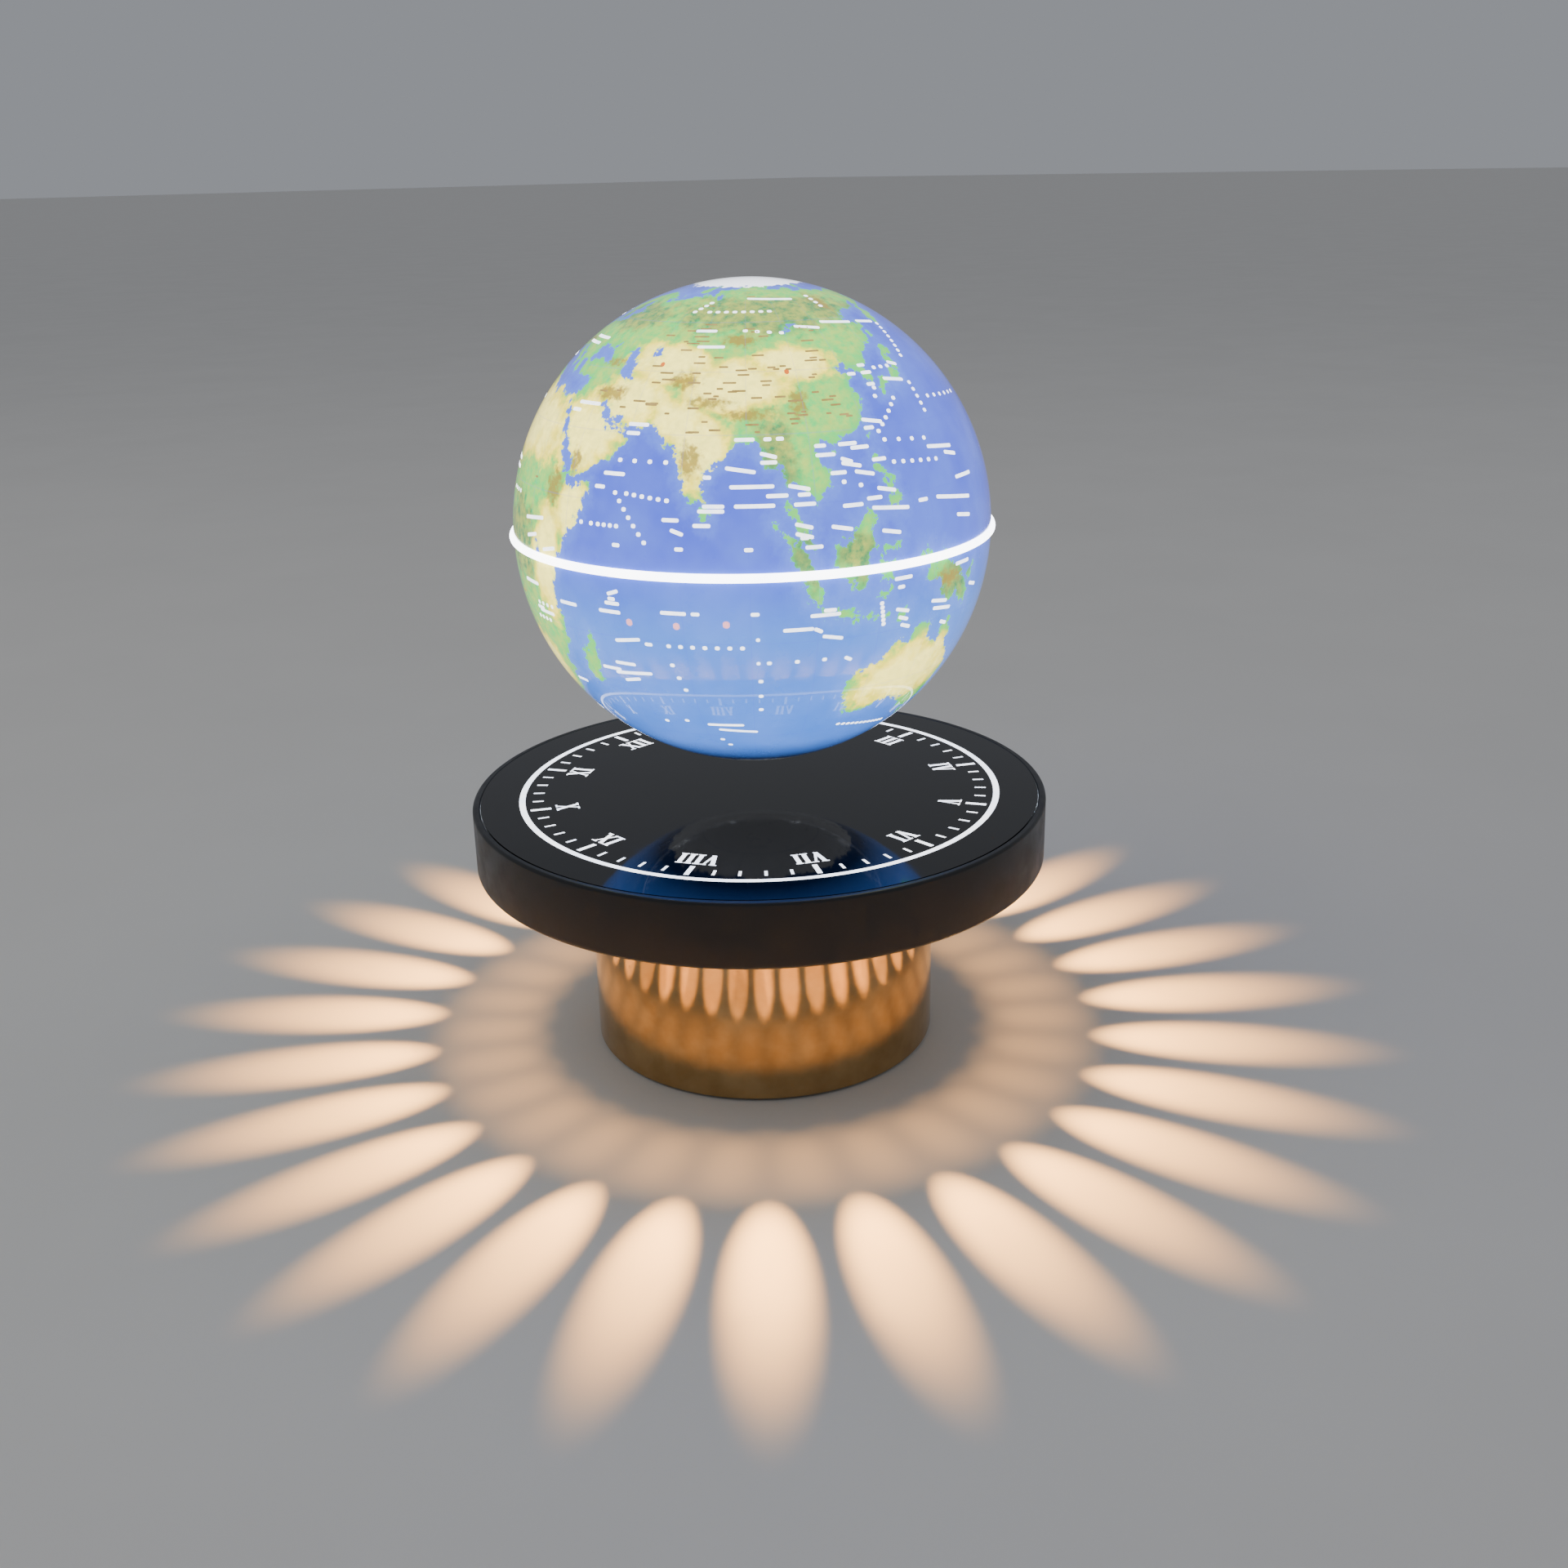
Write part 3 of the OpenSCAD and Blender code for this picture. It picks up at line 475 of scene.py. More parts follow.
def clear_plastic(name, one, two, haze_mm, weight, ior, strength):
    """See-through plastic with faint flow haze and a little light held inside."""
    material, tree, place = start_material(name)
    tone = two_tone(tree, place, haze_mm, linear(one), linear(two))
    end_material(tree, {
        "Base Color": tone,
        "Roughness": patches(tree, place, haze_mm, 0.06, 0.18),
        "IOR": ior,
        "Transmission Weight": weight,
        "Emission Color": tone,
        "Emission Strength": strength,
    })
    return material


def clear_polycarbonate():
    """Moulded clear polycarbonate over the warm lamps: see-through, with faint flow haze, and a
    warm tint and faint glow painted in for the lamps' light.
    """
    return clear_plastic("Clear polycarbonate, moulded", "#FFE2B4", "#FFD9A0", 11, 0.85, 1.58, 0.5)


def light_guide_acrylic():
    """Cast acrylic sheet, edge lit: nearly colourless, with a glow held inside."""
    return clear_plastic("Cast acrylic light guide", "#F5FAFF", "#E4EEFA", 2, 0.7, 1.49, 0.5)


def black_backed_acrylic():
    """Acrylic with black lacquer behind it: a deep, mirror-like black with a few dust specks."""
    material, tree, place = start_material("Black-backed acrylic, polished")
    end_material(tree, {
        "Base Color": two_tone(tree, place, 5, linear("#020203"), linear("#050507")),
        "Roughness": patches(tree, place, 7, 0.03, 0.075, stretch=(1.0, 0.15, 1.0)),
        "IOR": 1.49,
        "Specular IOR Level": 0.35,
        "Normal": grain(tree, place, 40, 0.01),
    })
    return material


def solder_mask_board():
    """Glass laminate under green solder mask: glossy green with paler tracks beneath."""
    material, tree, place = start_material("Solder mask on glass laminate")
    tracks = node(tree, "ShaderNodeTexBrick",
                  {"Vector": place, "Scale": per_metre(5), "Mortar Size": 0.05,
                   "Color1": rgba(linear("#0F5A2C")), "Color2": rgba(linear("#13652F")),
                   "Mortar": rgba(linear("#2C8A4A"))})
    cloud = patches(tree, place, 8, 0.0, 0.4)
    end_material(tree, {
        "Base Color": layered(tree, tracks, [(cloud, rgba(linear("#0B4A24")))]),
        "Roughness": patches(tree, place, 2, 0.22, 0.34),
        "IOR": 1.5,
        "Normal": grain(tree, place, 0.6, 0.008),
    })
    return material


# ------------------------------------------------------------------ metals

# The wave pattern draws one band in 2 pi / 20 of its scaled length
WAVE_TURN = 20
WINDING_BAND_MM = 0.9

def worked_metal(name, bright, dull, low, high, line_mm, stretch, depth_mm):
    """Bare or plated metal: fine tool lines along the work, and small changes of tone."""
    material, tree, place = start_material(name)
    end_material(tree, {
        "Base Color": two_tone(tree, place, 12, linear(bright), linear(dull)),
        "Metallic": 1.0,
        "Roughness": patches(tree, place, line_mm, low, high, stretch=stretch),
        "Normal": grain(tree, place, line_mm, depth_mm, stretch),
    })
    return material


# By slot: name, bright, dull, roughness at best and at worst, line width in mm, stretch along
# the axes, line depth in mm
WORKED = {
    # Buffed on a lathe: near mirror, with faint rings round the drum
    "gold_metal": ("Gold-tone plate, lathe polished", "#C3A373", "#B08F60", 0.06, 0.12, 0.9,
                   (0.02, 0.02, 1.0), 0.0012),
    # Pale grey with a faint blue cast
    "screw_steel": ("Zinc-plated steel", "#C3C7CC", "#A9ADB4", 0.24, 0.4, 0.4, (1, 1, 4), 0.004),
    # Turned and left bare: grey with fine rings
    "plain_steel": ("Turned steel", "#8C8D90", "#77787C", 0.3, 0.46, 0.4, (0.2, 0.2, 1), 0.006),
    # Yellow and softly bright
    "plain_brass": ("Turned brass", "#C9A255", "#B08A42", 0.22, 0.38, 0.4, (1, 1, 0.2), 0.005),
    # Warm silver, nearly mirror bright
    "nickel_magnet": ("Nickel plate", "#CFCBC2", "#BDB9B0", 0.08, 0.18, 0.6, (1, 1, 1), 0.002),
    # A pale can, with lines along the draw
    "capacitor_can": ("Drawn aluminium", "#C8CACD", "#B4B6BA", 0.26, 0.4, 0.3, (3, 3, 0.3), 0.004),
}


def enamelled_copper_winding():
    """Enamelled copper wire, wound: orange-brown bands, with a painted highlight on each crown and
    painted shade in the grooves between.

    The bands lie about 5.7 mm apart, like layers of turns, far coarser than the wire."""
    material, tree, place = start_material("Enamelled copper wire, wound")
    crown_height_and_painted_light = node(tree, "ShaderNodeTexWave",
                 {"Vector": place, "Scale": per_metre(WINDING_BAND_MM) / WAVE_TURN,
                  "Distortion": 0.6, "Detail": 1.0},
                 output=1, bands_direction="Z", wave_type="BANDS")
    # Painted light: the crowns are painted bright as a highlight, and the grooves between them dark
    # as shade
    dark, bright = rgba(linear("#7A3A17")), rgba(linear("#C8743A"))
    end_material(tree, {
        "Base Color": layered(tree, dark, [(crown_height_and_painted_light, bright)]),
        "Metallic": 0.85,
        "Roughness": patches(tree, place, 3, 0.25, 0.38),
        "Normal": node(tree, "ShaderNodeBump", {"Height": crown_height_and_painted_light, "Distance": 0.15 * MM}),
    })
    return material


# Finishes with a pattern of their own, by slot, or by name for the two clear parts
PATTERNED = {
    "copper_wire": enamelled_copper_winding,
    "circuit_board": solder_mask_board,
    "lamp_chip": lamp_phosphor,
    "opal_plastic": opal_acrylic_moulding,
    "dial_gloss": black_backed_acrylic,
    "window_lens": clear_polycarbonate,
    "dial_light_guide": light_guide_acrylic,
}


def finish(slot):
    """A new material for that slot."""
    if slot in MOULDED:
        return moulded(*MOULDED[slot])
    if slot in WORKED:
        return worked_metal(*WORKED[slot])
    return PATTERNED[slot]()

# Coast outlines as longitude and latitude in degrees; the printed coast adds its own detail.
COASTS = {
    "eurasia": [(-9.5, 37), (-9.3, 39), (-8.8, 43.2), (-4, 43.5), (-1.7, 43.4), (-1.2, 45.8),
        (-4.6, 48.2), (-1.8, 48.7), (-1.5, 49.7), (0.2, 49.6), (1.6, 50.8), (4, 52), (5, 53.3),
        (8.5, 53.8), (8.2, 57), (10.5, 57.6), (10, 55.2), (11, 54.1), (14.3, 54), (18.6, 54.6),
        (21, 55.5), (21.5, 57.5), (24.3, 57.3), (23.5, 59), (28, 59.6), (30, 60), (25, 60.2),
        (22, 60.3), (21.4, 61.8), (22, 63.4), (25.3, 65), (22.3, 65.8), (21, 64.5), (17.5, 62),
        (17.2, 60.6), (18.8, 60), (17, 58.6), (16.4, 57), (14.3, 55.5), (12.8, 55.5), (11.3, 58.8),
        (10.6, 59.4), (8, 58.1), (5.4, 58.9), (5, 61.5), (8, 63.6), (12, 65.5), (15, 68.3),
        (19, 70), (25.8, 71.1), (31, 70.3), (33, 69.4), (41, 67.3), (39.5, 66.2), (33, 66.6),
        (34.7, 64.5), (38, 64), (40.2, 65), (44, 66), (44, 68.5), (46, 66.8), (54, 68.4),
        (59, 68.9), (61, 69.8), (67, 68.8), (67, 72.8), (70, 73.2), (72.8, 72.6), (72.5, 69),
        (74, 66.8), (74.5, 72.8), (80.5, 73.6), (87, 75), (98, 76.2), (104, 77.7), (113, 75.6),
        (109, 73.5), (119, 73), (127, 73.4), (131, 71), (140, 72.5), (152, 70.9), (160, 69.7),
        (170, 69.9), (176, 69.7), (180, 68.9), (190, 66.1), (185, 65), (180, 65), (179.3, 62.5),
        (170.4, 60), (163.5, 59.8), (162, 57.8), (163.2, 56.2), (160, 53.2), (156.7, 51),
        (155.7, 55.5), (159, 59), (163.5, 61.8), (160, 61.7), (155, 59.3), (148, 59.3),
        (142.5, 59.2), (135.3, 54.7), (140.8, 53.3), (140.5, 50), (138, 46.3), (132, 43.2),
        (129.7, 41.2), (127.5, 39.7), (129.4, 37), (129, 35.2), (126.4, 34.5), (126.7, 37.7),
        (125, 38), (124.5, 40), (121.3, 38.9), (121.8, 40.8), (117.8, 39), (119, 37.3),
        (122.5, 37.2), (119.3, 35), (121.8, 31.9), (121.8, 29.5), (119.5, 25.5), (116.5, 23),
        (113.5, 22.2), (110.3, 20.4), (109.8, 21.5), (108, 21.5), (105.9, 19), (108.8, 15.3),
        (109.3, 12.2), (106.8, 10.4), (105, 8.6), (104.8, 10.3), (102.5, 12.1), (100.6, 13.4),
        (99.3, 10.5), (100.3, 8), (103.4, 4.5), (104, 1.4), (101.3, 3), (100.3, 6), (98.3, 8.3),
        (98.7, 12), (97.6, 16.5), (94.3, 16), (94.3, 18.8), (91.8, 22.3), (89, 21.8), (86.9, 20.8),
        (82.3, 16.7), (80.2, 15), (80.3, 13), (79.8, 10.3), (77.6, 8.1), (76, 10.5), (74.4, 15),
        (72.8, 19), (72.7, 21.2), (70.3, 20.9), (69, 22.3), (67.4, 24), (66.6, 25.3), (61.6, 25.2),
        (57.3, 25.7), (56.6, 27.1), (54, 26.6), (51.4, 27.9), (50, 30.2), (48, 30.2), (48.3, 28.5),
        (50.1, 26.5), (51.5, 25.8), (51.2, 24.6), (54.2, 24.2), (56.3, 26.2), (56.6, 24.5),
        (59.8, 22.5), (57.8, 19), (55.2, 17.4), (52.2, 15.6), (48.7, 14), (45, 12.8), (43.4, 12.7),
        (42.7, 16.5), (39.2, 21.3), (37, 25), (35, 28.1), (34.9, 29.5), (34.2, 27.8), (32.6, 29.9),
        (32.3, 31.2), (34.3, 31.3), (35.8, 34.5), (36, 36.6), (34, 36.2), (32.4, 36.1),
        (30.5, 36.7), (27.4, 36.8), (26.3, 38.8), (26.2, 40), (26, 40.8), (23, 40.4), (23, 39),
        (24, 37.8), (22.6, 36.5), (21.2, 37.8), (19.4, 40.5), (19.5, 41.8), (16, 43.5),
        (13.6, 45.1), (12.3, 45.3), (12.4, 44.2), (13.6, 43.5), (15.9, 41.9), (18.4, 40.2),
        (17, 40.5), (16.6, 38.9), (15.7, 38), (15.7, 40), (12.3, 41.7), (10.3, 43.5), (8.9, 44.4),
        (6, 43.1), (3.1, 43.2), (3.2, 41.9), (0.3, 40.2), (-0.3, 38.5), (-2.2, 36.8), (-5.5, 36.1),
        (-7, 37.2)],
    "africa": [(-5.9, 35.8), (-2, 35.2), (3, 36.9), (10, 37.3), (10.8, 35), (10.2, 33.8),
        (15, 32.3), (19, 30.4), (20.3, 32.6), (23, 32.6), (29, 30.9), (32.3, 31.3), (33, 30.5),
        (32.5, 29.9), (34, 27), (35.6, 24), (37.2, 21), (38.5, 18), (39.6, 15.5), (43, 12.6),
        (43.3, 11.5), (45, 10.5), (51.2, 12), (50.8, 9.5), (48, 4.5), (44, 1.2), (41.5, -1.8),
        (39.5, -4.5), (38.9, -6.5), (40.5, -10.6), (40.7, -15), (36.9, -18), (34.8, -20),
        (35.5, -24), (32.8, -25.8), (32.6, -28.3), (30, -31.3), (27, -33.6), (22, -34.1),
        (20, -34.8), (18.4, -34), (18.2, -31.7), (15.2, -27), (14.5, -22.8), (11.8, -18),
        (12.5, -14), (13.7, -11), (12.2, -6), (9.3, -2), (9.3, 1), (9.7, 3.8), (8.5, 4.7), (6, 4.3),
        (4.4, 6.3), (1, 6), (-2, 4.8), (-7.6, 4.4), (-12.5, 7.4), (-13.7, 9.6), (-16.8, 12.4),
        (-17.4, 14.7), (-16.2, 19), (-17, 21.2), (-14.8, 25.7), (-12.8, 28), (-9.7, 30),
        (-9.8, 31.5), (-6.8, 34)],
    "madagascar": [(49.3, -12.1), (50.4, -15.5), (49.5, -17.8), (47.1, -25), (44, -25), (43.3, -22),
        (44.5, -20), (44, -17), (46.5, -15.7)],
    "sri_lanka": [(80, 9.7), (81.8, 7.5), (81, 6.2), (80, 6.1), (79.8, 8)],
    "sumatra": [(95.3, 5.6), (98, 4.3), (100.4, 2.6), (103.5, 0.2), (104.5, -2), (106, -3),
        (105.8, -5.8), (104.5, -5.9), (102.3, -4), (100.3, -1), (98.7, 1.7), (97, 3.2)],
    "java": [(105.3, -6.8), (106.8, -6), (108.5, -6.7), (110.9, -6.4), (112.6, -6.9), (114.5, -7.8),
        (114.4, -8.7), (111, -8.3), (108.5, -7.8)],
    "borneo": [(109, 1.5), (111.3, 2.5), (113, 3.2), (115, 5), (116.8, 7), (119, 5.2), (117.8, 3.5),
        (119, 1), (117.5, 0.5), (116.5, -2), (116, -4), (114.5, -4), (111.8, -3.5), (110, -2.8),
        (109, -0.5)],
    "sulawesi": [(119.8, 0.5), (121, 1), (123.5, 0.7), (125, 1.6), (124.3, 0.3), (120.5, 0.3),
        (120.3, -1), (121.5, -0.9), (123.3, -1), (121.8, -2), (122.8, -4.3), (121.5, -4.6),
        (121, -2.8), (120.4, -3.2), (120.4, -5.6), (119.4, -5.3), (119.4, -3.3), (118.9, -2.5)],
    "timor": [(123.5, -10.3), (127.2, -8.4), (126.8, -9), (124.5, -10.2)],
    "flores": [(116.8, -8.5), (119, -8.3), (122.8, -8.1), (122.8, -8.8), (118.8, -8.9)],
    "new_guinea": [(131, -0.8), (134, -0.8), (135, -3.2), (138, -1.8), (141, -2.6), (144.8, -4),
        (147.8, -6.2), (150.8, -10.5), (147, -9.5), (144, -7.7), (142.5, -9.2), (139, -8),
        (138, -5.5), (135, -4.4), (132.8, -4), (133.5, -2.5), (131.5, -2)],
    "new_britain": [(148.5, -5.7), (151.5, -4.3), (152.2, -4.8), (150, -6.3)],
    "luzon": [(120.8, 18.5), (122.2, 18.3), (121.6, 15.8), (123.9, 13.2), (124, 12.6), (122, 13.6),
        (120.6, 13.8), (120, 16)],
    "mindanao": [(121.9, 7), (123.6, 8.7), (125.5, 9.8), (126.5, 7.5), (125.5, 5.6), (124, 6.5)],
    "visayas": [(122, 11.8), (123.2, 9.2), (124.8, 10.2), (125.4, 12.4), (123.2, 11.4)],
    "taiwan": [(121, 25.2), (121.8, 24.8), (120.8, 22), (120.1, 23.2)],
    "hainan": [(108.7, 19.3), (110, 20.1), (111, 19.6), (109.5, 18.2)],
    "honshu": [(130.9, 34), (132.7, 35.5), (136, 35.7), (137.2, 37.5), (139.5, 38.5), (140, 40.8),
        (141.5, 41.3), (142, 39.6), (140.9, 37), (140.3, 35.2), (138.7, 34.7), (136.9, 34.6),
        (135.6, 33.5), (134.5, 34.5), (132, 33.9)],
    "kyushu": [(130, 33.7), (131.9, 33.3), (131.3, 31.4), (130.2, 31.2), (129.7, 33)],
    "shikoku": [(132.4, 33.7), (134.6, 34.2), (134.2, 33.3), (133, 32.8)],
    "hokkaido": [(140, 41.6), (141.7, 45.4), (145.3, 43.4), (143.3, 42.1), (141, 41.8)],
    "sakhalin": [(142, 46), (142, 50), (142.8, 54.2), (143.5, 51), (143.3, 47)],
    "britain": [(-5.3, 50.1), (-3.5, 50.3), (1.3, 51.2), (1.7, 52.7), (-0.2, 54), (-2, 55.8),
        (-1.9, 57.5), (-4, 57.7), (-3.2, 58.6), (-5, 58.6), (-5.8, 56.5), (-4.8, 54.8), (-3, 54),
        (-4.5, 53), (-5, 51.8), (-3, 51.4)],
    "ireland": [(-6.1, 52.2), (-9.8, 51.6), (-10, 54.2), (-7.5, 55.3), (-5.7, 54.6), (-6.2, 53.3)],
    "iceland": [(-22.5, 64), (-18.5, 63.4), (-13.8, 64.8), (-16, 66.4), (-22, 66.3)],
    "novaya_zemlya": [(51.8, 71.5), (55, 73.5), (60, 75.5), (68.5, 76.8), (61, 74.5), (57, 71),
        (53.5, 70.8)],
    "svalbard": [(13, 78), (16, 80), (25, 80.2), (20, 78), (16.5, 76.8)],
    "severnaya_zemlya": [(95, 79), (98, 81), (104, 79.5), (100, 78.3)],
    "new_siberian_islands": [(138, 75), (143, 76), (150, 75.2), (143, 73.7)],
    "greenland": [(-44, 60), (-48.5, 61.5), (-52, 65), (-53.5, 69), (-51, 70.5), (-55.5, 73),
        (-62, 76.3), (-70.5, 77.5), (-66, 80), (-50, 82.3), (-33, 83.5), (-20, 82), (-18, 79),
        (-20, 75.5), (-22, 71.5), (-26.5, 69), (-33, 67.5), (-40, 65), (-42, 62)],
    "ellesmere": [(-77, 77), (-88, 76.5), (-90, 80), (-80, 82.8), (-65, 82.6), (-73, 79.5),
        (-77, 78)],
    "baffin": [(-62, 66.8), (-68, 62.6), (-77, 64.5), (-73, 66.5), (-73, 68.3), (-80, 70),
        (-89, 71), (-90, 73.5), (-81, 73.6), (-72, 71.3), (-67, 69.3)],
    "victoria": [(-105, 69), (-116, 69), (-125, 72), (-123, 74.3), (-110, 73), (-104, 71)],
    "devon": [(-80, 75), (-95, 75), (-92, 76.6), (-80, 76)],
    "melville": [(-105, 75), (-117, 75), (-114, 76.7), (-105, 76)],
    "north_america": [(-168, 65.6), (-162, 66.5), (-166.5, 68.3), (-156.5, 71.3), (-141, 69.7),
        (-128, 70.2), (-115, 68), (-108, 68), (-96, 68), (-94, 71.8), (-92, 69.6), (-88, 68.5),
        (-82, 69.5), (-82, 67), (-87, 65), (-94, 61), (-94.5, 58.8), (-88, 56.5), (-82.3, 55.1),
        (-82, 52.8), (-79, 51.4), (-79.5, 54.5), (-77, 56), (-78.5, 58.8), (-77.5, 62.4), (-73, 62),
        (-69.5, 58.9), (-64.5, 60.2), (-61.5, 57), (-57, 53.5), (-56, 51.5), (-60, 50.2),
        (-66.5, 50.1), (-70, 47.3), (-64.5, 49), (-65, 47), (-60, 46), (-64, 44.5), (-66, 43.5),
        (-66.9, 44.9), (-70, 43.7), (-70, 41.8), (-74, 40.5), (-75.5, 35.3), (-78, 34),
        (-81.3, 31.3), (-80.2, 26.7), (-80.5, 25.2), (-82, 27), (-83, 29.2), (-85.5, 29.9),
        (-89.5, 30.2), (-91, 29.3), (-94, 29.6), (-97.2, 27.6), (-97.6, 24), (-97.3, 21.5),
        (-95.5, 18.6), (-91.8, 18.6), (-90.4, 21), (-87, 21.4), (-88.2, 18), (-88.6, 15.8),
        (-83.4, 15), (-83.7, 11), (-82, 9), (-79.6, 9.6), (-77.2, 8.6), (-78, 7.3), (-80.3, 7.4),
        (-83, 8.3), (-85.7, 10), (-87.6, 13), (-91.5, 14), (-94.5, 16.2), (-99.5, 16.7),
        (-105.5, 20), (-105.5, 22.8), (-109.3, 25.8), (-112.8, 30), (-114.7, 31.7), (-112.8, 28.2),
        (-109.5, 23.2), (-112, 25), (-114.8, 28), (-116, 30.5), (-117.2, 32.7), (-120.6, 34.6),
        (-122.4, 37.2), (-124.2, 40.3), (-124, 46.3), (-124.6, 48.3), (-122.6, 47.6), (-123, 49),
        (-127.5, 51.3), (-130.5, 54.6), (-134, 58), (-139.5, 59.7), (-146, 60.8), (-151.5, 59.3),
        (-154, 58.3), (-158, 56.3), (-164.5, 54.6), (-160, 56), (-157.5, 58.7), (-162, 58.7),
        (-164.5, 60.8), (-165.5, 62.7), (-161, 64.2)],
    "newfoundland": [(-55.6, 51.5), (-59.2, 47.7), (-53.2, 46.7), (-53.5, 48.7)],
    "vancouver_island": [(-128, 50.6), (-125, 50), (-123.5, 48.4), (-125.5, 48.8)],
    "cuba": [(-84.8, 22), (-82, 23.1), (-77, 21.6), (-74.3, 20.2), (-77.6, 19.9), (-78, 21),
        (-82, 22.4)],
    "hispaniola": [(-74.4, 18.5), (-72.8, 19.9), (-68.4, 18.6), (-71.4, 17.7)],
    "south_america": [(-77.2, 8.6), (-75, 10.9), (-71.8, 12.3), (-70, 11.7), (-68, 10.6),
        (-62, 10.7), (-60, 8.4), (-57, 6), (-51.8, 4.4), (-50, 1), (-48.5, -1), (-44, -2.8),
        (-39.5, -3), (-35.2, -5.5), (-34.9, -8.3), (-37.3, -11.5), (-39, -14), (-39.2, -17.8),
        (-41, -22), (-44.5, -23.2), (-48.5, -26), (-48.7, -28.5), (-52.3, -32.8), (-55, -34.9),
        (-58.4, -34), (-57, -36.5), (-62, -38.9), (-65, -41), (-63.7, -42.6), (-67.5, -46),
        (-65.9, -47.9), (-69, -51.5), (-68.3, -52.5), (-65.3, -54.8), (-69, -55.4), (-74.5, -52),
        (-75.5, -47), (-73, -42), (-73.6, -37.2), (-71.5, -32), (-70.3, -25), (-70.3, -18.4),
        (-76.2, -14), (-79.5, -8), (-81.3, -4.7), (-80, -2.5), (-80, 0.5), (-77.5, 3),
        (-77.5, 6.5)],
    "australia": [(114, -22), (113.4, -26), (115.7, -32), (115.2, -34.4), (118, -35), (123.5, -34),
        (126, -32.3), (131, -31.5), (134, -32.7), (135.9, -34.8), (137.8, -33), (138.2, -35.6),
        (140.5, -38), (143.5, -38.8), (146.3, -39), (149.9, -37.5), (151.3, -33.8), (153.6, -28.5),
        (153, -25), (150.8, -23.2), (146.3, -19), (145.4, -15), (142.5, -10.7), (141.6, -13),
        (140.8, -17.5), (137.5, -16), (135.5, -15), (136.9, -12.3), (132.5, -11.4), (130.2, -13),
        (129, -15), (126, -14), (122.3, -18), (118.5, -20.3)],
    "tasmania": [(144.7, -40.8), (148.3, -40.9), (148, -43), (146, -43.5)],
    "new_zealand_north": [(172.8, -34.5), (175.5, -36.7), (178.5, -37.7), (177, -39.5),
        (175.2, -41.5), (173.8, -39.3), (174.8, -38)],
    "new_zealand_south": [(172.7, -40.6), (174.3, -41.8), (172.8, -43.8), (170.7, -45.9),
        (168.3, -46.6), (166.5, -45.8), (171.2, -42.4)],
    "antarctica": [(-180, -78), (-160, -77.5), (-150, -77), (-135, -74.5), (-115, -74),
        (-100, -72.5), (-80, -73), (-68, -69), (-60, -64.5), (-57, -63.3), (-61, -66), (-62, -72),
        (-60, -75), (-50, -77.5), (-35, -78), (-25, -75), (-10, -71), (0, -69.5), (20, -70),
        (40, -68.5), (55, -66.3), (70, -68.5), (80, -67.5), (100, -66), (115, -66.5), (135, -66),
        (150, -68.5), (165, -71), (168, -76), (180, -78), (180, -90), (-180, -90)],
}

# Inland waters cut out of the land
INLAND_WATERS = {
    "black_sea": [(28, 41.5), (31, 41.2), (35, 42), (38.5, 41), (41.5, 41.8), (39, 44),
        (37.5, 45.3), (39, 47), (35, 46.2), (33.6, 44.5), (32.5, 46), (30.7, 46.5), (28.7, 44.5),
        (27.8, 42.7)],
    "caspian_sea": [(47, 45), (51, 46.9), (51.3, 44.6), (52.8, 42), (53.7, 39.5), (54, 37),
        (51, 36.7), (49, 38), (49.5, 40.5), (47.7, 43)],
    "aral_sea": [(58.5, 44), (61, 44.2), (61.5, 46.3), (59, 46.2)],
    "lake_victoria": [(31.8, -1), (33, 0.3), (34.2, -1), (33, -2.5)],
    "lake_baikal": [(104, 51.6), (106, 51.9), (110, 54.8), (109, 55.6), (107.5, 53.5)],
    "great_lakes": [(-92, 46.8), (-87.5, 48.7), (-84.5, 46.6), (-80, 45.5), (-82.5, 43),
        (-79.5, 43.2), (-79, 42.6), (-83, 41.8), (-83.5, 45.5), (-86, 45.8), (-87.8, 42),
        (-87, 45.5), (-85, 46.4)],
}


# ------------------------------------------------------------------ the printed map

# Dry country as longitude, latitude and the two half widths in degrees
DRY_LANDS = [
    (10, 23, 30, 9), (46, 23, 11, 9), (57, 32, 10, 7), (65, 42, 14, 6), (86, 36, 14, 7),
    (105, 42, 12, 5), (72, 27, 7, 5), (79, 20, 7, 8), (47, 6, 6, 6), (21, -24, 8, 7),
    (37, -2, 5, 8), (134, -25, 16, 9), (-112, 37, 9, 9), (-104, 27, 6, 5), (-69, -42, 4, 9),
    (-70, -23, 2.5, 9),
]
HIGH_LANDS = [
    (72, 37, 5, 2.5), (80, 31.5, 6, 1.6), (90, 28.5, 8, 1.5), (76.5, 18, 3, 4), (49, 33, 6, 2.2),
    (44, 41.5, 5, 1.5), (39, 10, 3, 4), (10, 46.5, 5, 1.2), (0, 33, 8, 1.6), (88, 49, 6, 2.2),
    (135, 64, 5, 5), (104, 31, 2.5, 4), (45, 16, 2, 3), (-114, 46, 5, 12), (-106, 38, 3, 6),
    (-71, -20, 2.2, 16), (-77, -2, 1.8, 8), (-73, -40, 1.4, 10), (140, -5, 6, 1.2),
]
WOODED_LANDS = [
    (100, 60, 50, 8), (22, 0, 10, 6), (-62, -5, 12, 8), (114, 0, 4, 4), (97, 20, 4, 8),
    (-95, 52, 30, 7), (102, 0, 4, 4), (30, 58, 18, 6), (143, -6, 7, 3),
]
GREENLAND = (-42, 72, 16, 11)

